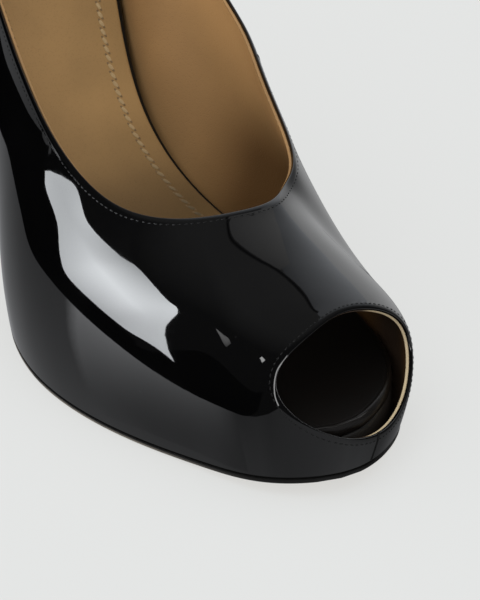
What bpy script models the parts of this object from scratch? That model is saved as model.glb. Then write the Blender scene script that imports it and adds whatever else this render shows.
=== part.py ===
"""Peep-toe pump with a concealed platform and a slim covered heel: one right shoe.

The toe points along +X, the wearer's inner (medial) side is +Y and the shoe stands on z = 0.
All sizes are in metres and all angles in degrees.
"""
import bmesh
import bpy
import numpy as np

# Last: the foot outline in plan, measured at the edge where the upper meets the sole
LENGTH = 0.234
BALL_WIDTH = 0.083

# Layers from the floor up, and the clearance between neighbouring pieces
OUTSOLE = 0.0020
PLATFORM = 0.0094
INSOLE = 0.0035
WALL = 0.0020
GAP = 0.0003

# Insole and platform: how much further in they lie at the toe, where the wall leans in over them
TOE_TUCK = 0.0015
TUCK_START = 0.080

# Side profile: slopes (rise over run) and where along the shoe each bend starts and how long it is
TOE_SLOPE = 0.20
TOE_START, TOE_BEND = 0.060, 0.070
INSOLE_TOE_SHARE = 0.7
SHANK_SLOPE = 0.80
RISE_START, RISE_BEND = 0.030, 0.070
BACK_SLOPE = 1.20
BREAK_START, BREAK_BEND = -0.002, 0.034
MERGE_BEND = 0.016
SEAT_SLOPE = 0.40
SEAT_START, SEAT_BEND = -0.070, 0.040

# Peep toe: an egg on a drum around a point inside the toe, by angle round the drum and by height
PEEP_CENTRE = (0.0655, 0.0040)
PEEP_TURN = 16.7
PEEP_HALF_ANGLE = 35.7
PEEP_LOW, PEEP_HIGH = 0.0122, 0.0393
PEEP_SLANT = -6.5
PEEP_FLARE = 0.19
PEEP_INNER_RADIUS, PEEP_OUTER_RADIUS = 0.012, 0.090

# Heel: seat from the breast line back, drawn in to a small tip above a rubber top piece
BREAST = -0.074
TIP_FRONT = -0.096
TIP_LENGTH, TIP_WIDTH = 0.0105, 0.0100
TOP_PIECE = 0.006
HEEL_TAPER = 2.6
HEEL_CROWD = 1.5

# Outsole edge: how far each rim lies inside the foot outline, and its share of the thickness
OUTSOLE_EDGE = ((0.0010, 0.0), (0.0003, 0.4), (0.0003, 1.0))
STRAIGHT_EDGE = ((0.0, 0.0), (0.0, 1.0))
PLATFORM_TAIL = 0.0010
TIP_CLEARANCE = 0.0002

# Mesh steps
AROUND, UP = 120, 12
STATIONS = 80
HEEL_STATIONS, HEEL_LEVELS = 10, 14
PEEP_STEPS = 64
OUTLINE_STEPS = 4000
SOFT_EDGE_ANGLE = 35

# Sections round the shoe, from the toe by the outer side to the heel and back by the inner side.
# along, side: foot edge as shares of LENGTH from the heel and of BALL_WIDTH from the axis;
# top_along, top_side: collar edge in the same shares; top_rise: collar height above the insole, mm;
# lean_foot: outward lean of the wall at the foot; lean_top: its pitch at the collar;
# full: fullness, the reach of both end tangents as a share of the section's chord.
COLUMNS = ("along", "side", "top_along", "top_side", "top_rise", "lean_foot", "lean_top", "full")
SECTIONS = {
    "toe":           (1.00, 0.040, 0.740, 0.010, 38.0, 6, 22, 0.45),
    "toe_outer":     (0.97, -0.175, 0.725, -0.090, 36.5, 4, 25, 0.44),
    "small_toe":     (0.89, -0.315, 0.700, -0.200, 35.5, 6, 35, 0.41),
    "forepart_outer": (0.77, -0.472, 0.640, -0.325, 37.5, 8, 52, 0.39),
    "ball_outer":    (0.64, -0.552, 0.545, -0.375, 44.0, 8, 66, 0.37),
    "joint_outer":   (0.50, -0.490, 0.455, -0.370, 46.5, 9, 75, 0.36),
    "waist_outer":   (0.36, -0.330, 0.335, -0.330, 40.0, 8, 80, 0.36),
    "arch_outer":    (0.23, -0.280, 0.220, -0.300, 33.0, 8, 82, 0.36),
    "seat_outer":    (0.10, -0.265, 0.100, -0.250, 38.0, 8, 82, 0.36),
    "heel_outer":    (0.02, -0.140, 0.035, -0.125, 49.0, 10, 80, 0.36),
    "heel":          (0.00, 0.040, 0.020, 0.040, 54.0, 12, 80, 0.36),
    "heel_inner":    (0.02, 0.220, 0.035, 0.205, 50.0, 10, 80, 0.36),
    "seat_inner":    (0.10, 0.325, 0.100, 0.310, 40.0, 8, 82, 0.36),
    "arch_inner":    (0.23, 0.285, 0.220, 0.335, 35.5, 4, 82, 0.36),
    "waist_inner":   (0.36, 0.225, 0.335, 0.390, 42.0, 4, 80, 0.36),
    "joint_inner":   (0.50, 0.335, 0.455, 0.415, 48.7, 6, 78, 0.36),
    "ball_inner":    (0.63, 0.440, 0.535, 0.390, 47.0, 7, 76, 0.37),
    "forepart_inner": (0.77, 0.460, 0.645, 0.340, 39.0, 10, 70, 0.40),
    "big_toe":       (0.89, 0.385, 0.700, 0.235, 37.0, 16, 54, 0.54),
    "toe_inner":     (0.96, 0.240, 0.735, 0.130, 38.0, 13, 32, 0.50),
}

# Colour, roughness and metallic value of each piece
FINISHES = {
    "upper": ((0.010, 0.010, 0.011), 0.08, 0.0),
    "outsole": ((0.300, 0.190, 0.100), 0.50, 0.0),
    "platform": ((0.012, 0.011, 0.010), 0.30, 0.0),
    "insole": ((0.260, 0.160, 0.080), 0.45, 0.0),
    "heel": ((0.010, 0.010, 0.011), 0.08, 0.0),
    "top_piece": ((0.020, 0.020, 0.020), 0.60, 0.0),
}


def ramp(distance, length):
    """Height of a path that turns smoothly from level to a slope of one over the given length."""
    share = np.clip(distance / length, 0, 1)
    return length * (share**3 - share**4 / 2) + np.maximum(distance - length, 0)


def toe_spring(x):
    """Lift of the tread under the toes."""
    return TOE_SLOPE * ramp(x - TOE_START, TOE_BEND)


def seat_flattening(x):
    """Height lost to the flatter heel seat, behind the shank."""
    return (SHANK_SLOPE - SEAT_SLOPE) * ramp(SEAT_START - x, SEAT_BEND)


def insole_top(x):
    """Height of the insole's upper face, level across the shoe."""
    tread = OUTSOLE + GAP + PLATFORM + GAP + INSOLE
    shank = SHANK_SLOPE * ramp(RISE_START - x, RISE_BEND)
    return tread + INSOLE_TOE_SHARE * toe_spring(x) + shank - seat_flattening(x)


def insole_under(x):
    """Height of the insole's lower face."""
    return insole_top(x) - INSOLE


def merge_place():
    """Place along the shoe where the rising back of the platform meets the line of the shank."""
    shank_at_zero = OUTSOLE + GAP + PLATFORM + GAP + SHANK_SLOPE * (RISE_START - RISE_BEND / 2)
    back_at_zero = OUTSOLE + GAP + BACK_SLOPE * (BREAK_START - BREAK_BEND / 2)
    return (shank_at_zero - back_at_zero) / (SHANK_SLOPE - BACK_SLOPE)


def sole_under(x):
    """Height of the outsole's lower face: toe spring, flat tread, steep platform back, shank, seat."""
    back = BACK_SLOPE * ramp(BREAK_START - x, BREAK_BEND)
    merge_start = merge_place() + MERGE_BEND / 2
    easing = (BACK_SLOPE - SHANK_SLOPE) * ramp(merge_start - x, MERGE_BEND)
    return toe_spring(x) + back - easing - seat_flattening(x)


def sole_top(x):
    """Height of the outsole's upper face, which the heel's seat carries on."""
    return sole_under(x) + OUTSOLE


def closed_spline(knots, period, rows):
    """Smooth closed cubic curve through the rows; returns a function of place and order of slope."""
    count = len(knots)
    step = np.diff(np.append(knots, knots[0] + period))
    matrix = np.zeros((count, count))
    right = np.zeros(rows.shape)
    for i in range(count):
        before, after = (i - 1) % count, (i + 1) % count
        matrix[i, before] += step[before]
        matrix[i, i] += 2 * (step[before] + step[i])
        matrix[i, after] += step[i]
        right[i] = 6 * ((rows[after] - rows[i]) / step[i] - (rows[i] - rows[before]) / step[before])
    bend = np.linalg.solve(matrix, right)

    def curve(place, slope=False):
        place = np.mod(place, period)
        i = np.clip(np.searchsorted(knots, place, side="right") - 1, 0, count - 1)
        j = (i + 1) % count
        width = step[i][:, None]
        past = (place - knots[i])[:, None]
        left = width - past
        from_i = rows[i] / width - bend[i] * width / 6
        from_j = rows[j] / width - bend[j] * width / 6
        if slope:
            return (bend[j] * past**2 - bend[i] * left**2) / (2 * width) - from_i + from_j
        return (bend[i] * left**3 + bend[j] * past**3) / (6 * width) + from_i * left + from_j * past

    return curve


def last_curve():
    """Curve of all the section columns round the shoe, in metres and radians, and its length."""
    rows = np.array(list(SECTIONS.values()), dtype=float)
    column = {name: i for i, name in enumerate(COLUMNS)}
    for name in ("along", "top_along"):
        rows[:, column[name]] = (rows[:, column[name]] - 0.5) * LENGTH
    for name in ("side", "top_side"):
        rows[:, column[name]] *= BALL_WIDTH
    rows[:, column["top_rise"]] *= 0.001
    for name in ("lean_foot", "lean_top"):
        rows[:, column[name]] = np.radians(rows[:, column[name]])
    steps = np.linalg.norm(np.roll(rows[:, :2], -1, axis=0) - rows[:, :2], axis=1)
    knots = np.append(0, np.cumsum(steps)[:-1])
    return closed_spline(knots, steps.sum(), rows), steps.sum()


LAST, GIRTH = last_curve()


def inward(slope):
    """Unit plan direction into the shoe, for a tangent that runs clockwise seen from above."""
    turned = np.column_stack([slope[:, 1], -slope[:, 0]])
    return turned / np.linalg.norm(turned, axis=1)[:, None]


def foot_edge(place, inset=0.0, tuck=0.0):
    """Plan points of the foot outline, moved into the shoe by the inset and, at the toe, the tuck."""
    plan = LAST(place)[:, :2]
    toe_share = np.clip((plan[:, :1] - TUCK_START) / (LENGTH / 2 - TUCK_START), 0, 1)
    return plan + (inset + tuck * toe_share) * inward(LAST(place, slope=True)[:, :2])


def skin(place, up):
    """Points of the upper's outer face: sections at each place, from foot (0) to collar (1)."""
    row, slope = LAST(place), LAST(place, slope=True)
    foot_in, top_in = inward(slope[:, :2]), inward(slope[:, 2:4])
    foot = np.column_stack([row[:, :2], sole_top(row[:, 0]) + GAP])
    top = np.column_stack([row[:, 2:4], insole_top(row[:, 2]) + row[:, 4]])
    reach = (row[:, 7] * np.linalg.norm(top - foot, axis=1))[:, None]
    lean_foot, lean_top = row[:, 5:6], row[:, 6:7]
    rise = foot + reach * np.hstack([-foot_in * np.sin(lean_foot), np.cos(lean_foot)])
    fall = top - reach * np.hstack([top_in * np.cos(lean_top), np.sin(lean_top)])
    t = np.asarray(up)[:, None, None]
    return (1 - t)**3 * foot + 3 * t * (1 - t)**2 * rise + 3 * t**2 * (1 - t) * fall + t**3 * top


def skin_inward(place, up):
    """Unit directions into the wall at the skin's points."""
    small = 1e-4
    along = skin(place + small * GIRTH, up) - skin(place - small * GIRTH, up)
    above = np.clip(up + small, 0, 1)
    below = np.clip(up - small, 0, 1)
    rising = skin(place, above) - skin(place, below)
    normal = np.cross(along, rising)
    return normal / np.linalg.norm(normal, axis=2)[..., None]


def outline_sides(stations, inset, tuck=0.0):
    """Outer and inner side's y of the foot outline at each x, and the x of its two ends."""
    edge = foot_edge(np.linspace(0, GIRTH, OUTLINE_STEPS, endpoint=False), inset, tuck)
    toe, heel = edge[:, 0].argmax(), edge[:, 0].argmin()
    edge = np.roll(edge, -toe, axis=0)
    heel = (heel - toe) % OUTLINE_STEPS
    outer = edge[:heel + 1]
    inner = np.vstack([edge[heel:], edge[:1]])
    outer_y = np.interp(stations, outer[::-1, 0], outer[::-1, 1])
    inner_y = np.interp(stations, inner[:, 0], inner[:, 1])
    return outer_y, inner_y, edge[heel], edge[0]


def shared_stations():
    """Places along the shoe, toe to heel, where every layer has a cross line: closer at the ends."""
    spread = np.cos(np.linspace(0, np.pi, STATIONS)) * LENGTH / 2
    return np.sort(np.append(spread, (BREAST, platform_end())))[::-1]


def ring_faces(rings, count):
    """Quads between successive rings of points."""
    faces = []
    for ring in range(rings - 1):
        for i in range(count):
            a = ring * count + i
            b = ring * count + (i + 1) % count
            faces.append((a, b, b + count, a + count))
    return faces


def plate_ring(stations, inset, height, tip_back, tip_front, tuck=0.0):
    """One rim of a plate: outer side front to back, heel point, inner side back to front, toe point."""
    outer_y, inner_y, back, front = outline_sides(stations, inset, tuck)
    outer = np.column_stack([stations, outer_y])
    inner = np.column_stack([stations, inner_y])[::-1]
    parts = [outer, back[None], inner, front[None]]
    parts = [part for part, keep in zip(parts, (True, tip_back, True, tip_front)) if keep]
    plan = np.vstack(parts)
    return np.column_stack([plan, height(plan[:, 0])])


def cap_faces(first, stations, tip_back, tip_front):
    """Faces that close a plate's rim with strips straight across the shoe."""
    outer = [first + i for i in range(stations)]
    start = first + stations + (1 if tip_back else 0)
    inner = [start + stations - 1 - i for i in range(stations)]
    faces = [(outer[i], outer[i + 1], inner[i + 1], inner[i]) for i in range(stations - 1)]
    if tip_back:
        faces.append((outer[-1], first + stations, inner[-1]))
    if tip_front:
        faces.append((inner[0], start + stations, outer[0]))
    return faces


def plate(under, top, inset, edge, back=None, tuck=0.0):
    """Closed layer that follows the foot outline, from the toe to the heel or to a straight back."""
    deepest = inset + max(step for step, _ in edge)
    _, _, heel_point, toe_point = outline_sides(np.zeros(1), deepest, tuck)
    tip_back = back is None
    end = heel_point[0] + TIP_CLEARANCE if tip_back else back
    stations = shared_stations()
    stations = stations[(stations >= end) & (stations < toe_point[0] - TIP_CLEARANCE)]
    rings = []
    for step, share in edge:
        def height(x, share=share):
            return under(x) * (1 - share) + top(x) * share
        rings.append(plate_ring(stations, inset + step, height, tip_back, True, tuck))
    count = len(rings[0])
    points = np.vstack(rings)
    faces = ring_faces(len(rings), count)
    faces += cap_faces(0, len(stations), tip_back, True)
    faces += cap_faces((len(rings) - 1) * count, len(stations), tip_back, True)
    return points, faces


def upper_shell():
    """The upper: one wall of even thickness, open at the collar and underneath."""
    place = np.linspace(0, GIRTH, AROUND, endpoint=False)
    up = np.linspace(0, 1, UP + 1)
    outside = skin(place, up)
    inside = outside + WALL * skin_inward(place, up)
    inside[0, :, :2] = foot_edge(place, WALL)
    inside[0, :, 2] = sole_top(inside[0, :, 0]) + GAP
    points = np.vstack([outside.reshape(-1, 3), inside[::-1].reshape(-1, 3)])
    rings = 2 * (UP + 1)
    faces = ring_faces(rings, AROUND)
    last_ring = (rings - 1) * AROUND
    for i in range(AROUND):
        j = (i + 1) % AROUND
        faces.append((last_ring + i, last_ring + j, j, i))
    return points, faces


def peep_cutter():
    """Egg-shaped plug, wider outwards from a point inside the toe, that opens the peep toe."""
    turn = np.linspace(0, 2 * np.pi, PEEP_STEPS, endpoint=False)
    lift = np.cos(turn)
    angle = PEEP_TURN + PEEP_SLANT * lift
    angle = np.radians(angle + PEEP_HALF_ANGLE * (1 + PEEP_FLARE * lift) * np.sin(turn))
    height = (PEEP_LOW + PEEP_HIGH) / 2 + (PEEP_HIGH - PEEP_LOW) / 2 * lift
    rings = []
    for radius in (PEEP_INNER_RADIUS, PEEP_OUTER_RADIUS):
        x = PEEP_CENTRE[0] + radius * np.cos(angle)
        y = PEEP_CENTRE[1] + radius * np.sin(angle)
        rings.append(np.column_stack([x, y, height]))
    faces = ring_faces(2, PEEP_STEPS)
    faces.append(tuple(range(PEEP_STEPS)))
    faces.append(tuple(range(PEEP_STEPS, 2 * PEEP_STEPS)))
    return np.vstack(rings), faces


def heel_rings():
    """Seat rim and tip rim of the heel in plan, point for point."""
    inset = OUTSOLE_EDGE[-1][0]
    _, _, back, _ = outline_sides(np.zeros(1), inset)
    front = BREAST - GAP
    run = np.sin(np.linspace(0, np.pi / 2, HEEL_STATIONS + 1))[:-1]
    stations = front + (back[0] - front) * run
    seat = plate_ring(stations, inset, sole_top, True, False)
    share = (front - seat[:, 0]) / (front - back[0])
    half = TIP_WIDTH / 2 * np.sqrt(np.clip(1 - share**2, 0, 1))
    half[:HEEL_STATIONS] *= -1
    tip = np.column_stack([TIP_FRONT - TIP_LENGTH * share, back[1] + half])
    return seat, tip


def heel_block():
    """Slim heel drawn from the seat down to its tip, with a flat breast."""
    seat, tip = heel_rings()
    bottom = TOP_PIECE + GAP
    rings = []
    for level in np.linspace(0, 1, HEEL_LEVELS)**HEEL_CROWD:
        drawn = 1 - (1 - level)**HEEL_TAPER
        plan = seat[:, :2] * (1 - drawn) + tip * drawn
        rings.append(np.column_stack([plan, seat[:, 2] * (1 - level) + bottom * level]))
    count = len(seat)
    faces = ring_faces(HEEL_LEVELS, count)
    faces += cap_faces(0, HEEL_STATIONS, True, False)
    faces += cap_faces((HEEL_LEVELS - 1) * count, HEEL_STATIONS, True, False)
    return np.vstack(rings), faces


def top_piece():
    """Rubber lift under the heel's tip, flat on the floor."""
    _, tip = heel_rings()
    rings = [np.column_stack([tip, np.full(len(tip), height)]) for height in (0.0, TOP_PIECE)]
    faces = ring_faces(2, len(tip))
    faces += cap_faces(0, HEEL_STATIONS, True, False)
    faces += cap_faces(len(tip), HEEL_STATIONS, True, False)
    return np.vstack(rings), faces


def platform_end():
    """Place behind the ball where the platform has thinned to its tail."""
    x = np.linspace(BREAK_START, merge_place(), OUTLINE_STEPS)
    room = insole_under(x) - GAP - (sole_top(x) + GAP)
    return x[np.nonzero(room > PLATFORM_TAIL)[0][-1]]


def forms():
    """Points and faces of every piece, by name."""
    inside = WALL + GAP
    return {
        "outsole": plate(sole_under, sole_top, 0.0, OUTSOLE_EDGE, BREAST),
        "platform": plate(lambda x: sole_top(x) + GAP, lambda x: insole_under(x) - GAP,
                          inside, STRAIGHT_EDGE, platform_end(), TOE_TUCK),
        "insole": plate(insole_under, insole_top, inside, STRAIGHT_EDGE, tuck=TOE_TUCK),
        "upper": upper_shell(),
        "heel": heel_block(),
        "top_piece": top_piece(),
    }


def finish(name):
    """Material of a piece."""
    colour, roughness, metallic = FINISHES[name]
    material = bpy.data.materials.new(name)
    material.use_nodes = True
    shader = material.node_tree.nodes["Principled BSDF"]
    shader.inputs["Base Color"].default_value = (*colour, 1.0)
    shader.inputs["Roughness"].default_value = roughness
    shader.inputs["Metallic"].default_value = metallic
    return material


def add_piece(name, points, faces):
    """Object of a closed piece, with its faces turned outwards and smooth across soft edges."""
    mesh = bpy.data.meshes.new(name)
    mesh.from_pydata([tuple(point) for point in points], [], faces)
    work = bmesh.new()
    work.from_mesh(mesh)
    bmesh.ops.recalc_face_normals(work, faces=work.faces)
    work.to_mesh(mesh)
    work.free()
    mesh.shade_smooth()
    mesh.set_sharp_from_angle(angle=np.radians(SOFT_EDGE_ANGLE))
    piece = bpy.data.objects.new(name, mesh)
    bpy.context.scene.collection.objects.link(piece)
    return piece


def main():
    for old in list(bpy.data.objects):
        bpy.data.objects.remove(old, do_unlink=True)
    pieces = forms()
    everything = np.vstack([points for points, _ in pieces.values()])
    centre = (everything.min(axis=0) + everything.max(axis=0)) / 2
    centre[2] = everything[:, 2].min()
    for name, (points, faces) in pieces.items():
        piece = add_piece(name, points - centre, faces)
        piece.data.materials.append(finish(name))
    points, faces = peep_cutter()
    plug = add_piece("peep_plug", points - centre, faces)
    plug.hide_render = True
    plug.display_type = "WIRE"
    cut = bpy.data.objects["upper"].modifiers.new("peep toe", "BOOLEAN")
    cut.operation = "DIFFERENCE"
    cut.solver = "EXACT"
    cut.object = plug


main()
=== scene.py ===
import bmesh
import bpy
import numpy as np
from bpy.props import FloatProperty, FloatVectorProperty, PointerProperty
from bpy.types import Operator, Panel, PropertyGroup
from mathutils import Matrix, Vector
from mathutils.bvhtree import BVHTree
from mathutils.interpolate import poly_3d_calc


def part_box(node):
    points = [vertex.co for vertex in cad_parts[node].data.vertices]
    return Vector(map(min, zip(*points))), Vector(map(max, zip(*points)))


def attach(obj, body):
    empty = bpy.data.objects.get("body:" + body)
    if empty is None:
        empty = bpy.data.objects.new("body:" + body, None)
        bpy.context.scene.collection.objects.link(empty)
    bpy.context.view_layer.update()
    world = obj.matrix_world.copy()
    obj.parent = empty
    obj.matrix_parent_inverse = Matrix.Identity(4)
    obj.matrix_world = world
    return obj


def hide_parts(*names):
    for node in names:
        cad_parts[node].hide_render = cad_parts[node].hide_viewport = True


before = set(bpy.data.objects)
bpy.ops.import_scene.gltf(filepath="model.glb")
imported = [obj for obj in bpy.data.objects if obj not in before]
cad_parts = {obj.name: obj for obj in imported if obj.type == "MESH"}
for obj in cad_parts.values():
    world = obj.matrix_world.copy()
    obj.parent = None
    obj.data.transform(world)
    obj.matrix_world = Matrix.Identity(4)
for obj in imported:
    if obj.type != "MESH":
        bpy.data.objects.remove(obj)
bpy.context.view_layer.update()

bl_info = {
    "name": "Peep Toe Pump",
    "version": (1, 0, 0),
    "blender": (4, 5, 0),
    "location": "3D View > Sidebar > Pump",
    "description": "Builds one glossy peep-toe pump with its stitches, lining and studio",
    "category": "Mesh",
}

# Last: foot outline in plan and the layers from the floor up, in metres
LENGTH = 0.234
BALL_WIDTH = 0.083
OUTSOLE = 0.0020
PLATFORM = 0.0094
INSOLE = 0.0035
WALL = 0.0020
GAP = 0.0003
TOE_TUCK = 0.0015
TUCK_START = 0.080

# Side profile: slopes, and where along the shoe each bend starts and how long it is
TOE_SLOPE = 0.20
TOE_START, TOE_BEND = 0.060, 0.070
INSOLE_TOE_SHARE = 0.7
SHANK_SLOPE = 0.80
RISE_START, RISE_BEND = 0.030, 0.070
BACK_SLOPE = 1.20
BREAK_START, BREAK_BEND = -0.002, 0.034
MERGE_BEND = 0.016
SEAT_SLOPE = 0.40
SEAT_START, SEAT_BEND = -0.070, 0.040

# Peep toe: an egg on a drum around a point inside the toe, by angle in degrees and by height
PEEP_CENTRE = (0.0655, 0.0040)
PEEP_TURN = 16.7
PEEP_HALF_ANGLE = 35.7
PEEP_LOW, PEEP_HIGH = 0.0122, 0.0393
PEEP_SLANT = -6.5
PEEP_FLARE = 0.19

# Heel: seat from the breast line back, drawn in to a small tip above a rubber top piece
BREAST = -0.074
TIP_FRONT = -0.096
TIP_LENGTH, TIP_WIDTH = 0.0105, 0.0100
TOP_PIECE = 0.006
HEEL_TAPER = 2.6
HEEL_CROWD = 1.5
HEEL_INSET = 0.0003
PLATFORM_TAIL = 0.0010
TIP_CLEARANCE = 0.0002

# Edges of the layers: inset from the outline in metres, share of the thickness, finish mark 0 to 1
OUTSOLE_EDGE = ((0.0016, 0.00, 0), (0.0014, 0.02, 1), (0.0007, 0.08, 1), (0.0003, 0.25, 1), (0.0003, 0.60, 1),
                (0.0005, 0.75, 1), (0.0009, 0.85, 1), (0.0010, 1.00, 1))
PLATFORM_EDGE = ((0.0004, 0.00, 0), (0.0000, 0.08, 0), (0.0000, 0.92, 0), (0.0004, 1.00, 0))
INSOLE_EDGE = ((0.0003, 0.00, 0), (0.0000, 0.10, 0), (0.0000, 0.40, 0), (0.0001, 0.62, 0), (0.0003, 0.82, 0),
               (0.0006, 0.94, 0), (0.0009, 0.99, 0), (0.0011, 0.99, 0), (0.0013, 0.96, 0),
               (0.00135, 0.96, 1), (0.0014, 1.02, 1), (0.0016, 1.07, 1), (0.0021, 1.09, 1))
# Where the tan sock ends; in front of it the insole is black and dull, which paints the shade inside the toe.
SOCK_FRONT = 0.040

# Waves of the lasted leather, the lining's clearance under it, the colours of the black threads,
# and the share of a seam's radius by which its middle lies in the leather
WAVES = 14
WAVE_SHORT, WAVE_MEAN, WAVE_LONG = 0.010, 0.018, 0.026
LINING_GAP = 0.0001
THREAD_BLACK = (0.004, 0.004, 0.0042)
SEAM_BLACK = (0.002, 0.002, 0.002)
SEAM_SUNK = 0.45

# Mesh steps
COLUMNS_SHELL, ROWS_SHELL = 380, 108
COLUMNS_LINING, ROWS_LINING = 260, 64
RIM_STEPS = 14
ROW_STEPS = 3001
RIM_SQUARE = 4
STATIONS = 200
HEEL_STATIONS, HEEL_LEVELS = 36, 60
OUTLINE_STEPS = 6000

# Sections round the shoe, from the toe by the outer side to the heel and back by the inner side.
# along, side: foot edge as shares of LENGTH from the heel and of BALL_WIDTH from the axis;
# top_along, top_side: collar edge in the same shares; top_rise: collar height above the insole, mm;
# lean_foot: outward lean of the wall at the foot; lean_top: its pitch at the collar, degrees;
# full: fullness, the reach of both end tangents as a share of the section's chord.
COLUMNS = ("along", "side", "top_along", "top_side", "top_rise", "lean_foot", "lean_top", "full")
SECTIONS = {
    "toe":           (1.00, 0.040, 0.740, 0.010, 38.0, 6, 22, 0.45),
    "toe_outer":     (0.97, -0.175, 0.725, -0.090, 36.5, 4, 25, 0.44),
    "small_toe":     (0.89, -0.315, 0.700, -0.200, 35.5, 6, 35, 0.41),
    "forepart_outer": (0.77, -0.472, 0.640, -0.325, 37.5, 8, 52, 0.39),
    "ball_outer":    (0.64, -0.552, 0.545, -0.375, 44.0, 8, 66, 0.37),
    "joint_outer":   (0.50, -0.490, 0.455, -0.370, 46.5, 9, 75, 0.36),
    "waist_outer":   (0.36, -0.330, 0.335, -0.330, 40.0, 8, 80, 0.36),
    "arch_outer":    (0.23, -0.280, 0.220, -0.300, 33.0, 8, 82, 0.36),
    "seat_outer":    (0.10, -0.265, 0.100, -0.250, 38.0, 8, 82, 0.36),
    "heel_outer":    (0.02, -0.140, 0.035, -0.125, 49.0, 10, 80, 0.36),
    "heel":          (0.00, 0.040, 0.020, 0.040, 54.0, 12, 80, 0.36),
    "heel_inner":    (0.02, 0.220, 0.035, 0.205, 50.0, 10, 80, 0.36),
    "seat_inner":    (0.10, 0.325, 0.100, 0.310, 40.0, 8, 82, 0.36),
    "arch_inner":    (0.23, 0.285, 0.220, 0.335, 35.5, 4, 82, 0.36),
    "waist_inner":   (0.36, 0.225, 0.335, 0.390, 42.0, 4, 80, 0.36),
    "joint_inner":   (0.50, 0.335, 0.455, 0.415, 48.7, 6, 78, 0.36),
    "ball_inner":    (0.63, 0.440, 0.535, 0.390, 47.0, 7, 76, 0.37),
    "forepart_inner": (0.77, 0.460, 0.645, 0.340, 39.0, 10, 70, 0.40),
    "big_toe":       (0.89, 0.385, 0.700, 0.235, 37.0, 16, 54, 0.54),
    "toe_inner":     (0.96, 0.240, 0.735, 0.130, 38.0, 13, 32, 0.50),
}

# Camera: direction from the shoe, in degrees, distance and aim in metres, and lens in millimetres
CAMERA_TURN = -25.5
CAMERA_RISE = 29.1
CAMERA_DISTANCE = 1.400
CAMERA_AIM = (0.0603, 0.0036, 0.0286)
CAMERA_LENS = 320.6

# Reflector cards, shown only in the gloss, as seen from the shoe: columns of turn, lower and upper rise
# in degrees, and brightness at the lower and upper end
CARD_REACH = 3.0
CARD_LEVELS = 13
CARD_CENTRE = (0.06, 0.0, 0.035)
INNER_EDGE = 20
INNER_LOW = [(turn, low, INNER_EDGE, dim, bright) for turn, low, dim, bright in (
    (100, -25, 0.05, 0.2), (108, -25, 0.2, 0.35), (114, -25, 0.5, 0.6), (120, -24, 0.6, 1.1),
    (126, -24, 0.6, 1.3), (150, -24, 0.35, 1.3), (165, -24, 0.2, 0.6))]
INNER_HIGH = [(turn, INNER_EDGE, high, dim, bright) for turn, high, dim, bright in (
    (100, 56, 0.2, 0.3), (108, 54, 0.35, 0.5), (114, 53, 0.6, 0.6), (118, 52.5, 0.85, 0.5),
    (121, 52, 1.0, 0.36), (126, 51, 1.2, 0.32), (131, 54, 1.2, 0.3), (141, 59, 1.2, 0.25),
    (150, 60, 1.2, 0.2), (180, 60, 0.5, 0.2))]
FLOOR_LOW = -80
FLOOR_CARD = [(turn, FLOOR_LOW, high, dim, bright) for turn, high, dim, bright in (
    (-180, -22, 0.36, 0.28), (-165, -18, 0.36, 0.28), (-150, -10, 0.38, 0.28), (-138, -1, 0.4, 0.31),
    (-129, 5, 0.42, 0.36), (-122, 8, 0.44, 0.42), (-104, 8, 0.42, 0.42), (-96, -4, 0.5, 0.32),
    (-82, -8, 0.52, 0.31), (-70, -3, 0.52, 0.34), (-58, 5, 0.46, 0.3), (-44, 18, 0.4, 0.36),
    (-25, 22, 0.42, 0.42), (0, 26, 0.52, 0.46), (30, 26, 0.62, 0.46), (60, 0, 0.55, 0.3),
    (80, -15, 0.4, 0.2), (100, -25, 0.2, 0.12), (140, -25, 0.2, 0.12), (160, -24, 0.4, 0.36),
    (180, -22, 0.36, 0.28))]
LIGHT_LOW = -38
FLOOR_LIGHT = [(turn, LIGHT_LOW, high, dim, bright) for turn, high, dim, bright in (
    (-123, 5, 0.42, 0.42), (-118, 10, 0.4, 2.4), (-112, 13, 0.4, 2.5), (-106, 13, 0.36, 2.4),
    (-101, 12, 0.34, 2.1), (-98, 4, 0.32, 1.5), (-94, -4, 0.32, 0.8), (-90, -7, 0.32, 0.5),
    (-86, -8, 0.32, 0.32))]
FLOOR_BEND = 1.8
FLOOR_TINT = (0.985, 1.0, 1.03)
DARK_CARD = [(turn, low, high, 0, 0) for turn, low, high in (
    (-165, -40, -10), (-140, -30, 12), (-125, -20, 18), (-110, -20, 20), (-103, -20, 16), (-101, -20, 4))]

# Cards close to the shoe, by where the gloss shows them in a frame of 480 by 600 steps.
# first_x, first_y, last_x, last_y: the two ends of a column;
# glow_first, glow_middle, glow_last: brightness at its first end, in the middle and at its last end.
# The key card stands a little in front of the others.
FRAME_WIDTH, FRAME_HEIGHT = 480, 600
NEAR_REACH = 0.03
KEY_REACH = NEAR_REACH * 0.9
NEAR_LEVELS = 5
KEY_IMAGE = (
    (45, 171, 50, 170.5, 8, 8, 8), (46, 189, 75, 186, 8, 8, 9), (57, 222, 88, 223, 8, 9, 11),
    (60, 255, 118, 254, 8, 12, 8), (68, 277, 138, 268, 8, 15, 7), (95, 304, 165, 298, 8, 15, 11),
    (115, 321, 178, 310.5, 8, 12, 13), (130, 332, 166, 327, 9, 10, 11), (155, 347, 167, 346, 9, 10, 10),
    (173.5, 361.5, 174, 361.5, 9, 9, 9))
LINE_IMAGE = [(*ends, 0.1, 0, 0.1) for ends in (
    (227.5, 218, 231, 218), (226, 224, 229, 223.5), (230.5, 242, 234, 239), (251.5, 258, 254, 255),
    (278, 273, 280, 270), (299.5, 293, 303, 290.5), (311, 309, 313.6, 307.6), (317.5, 313.6, 319, 311.4))]
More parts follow.
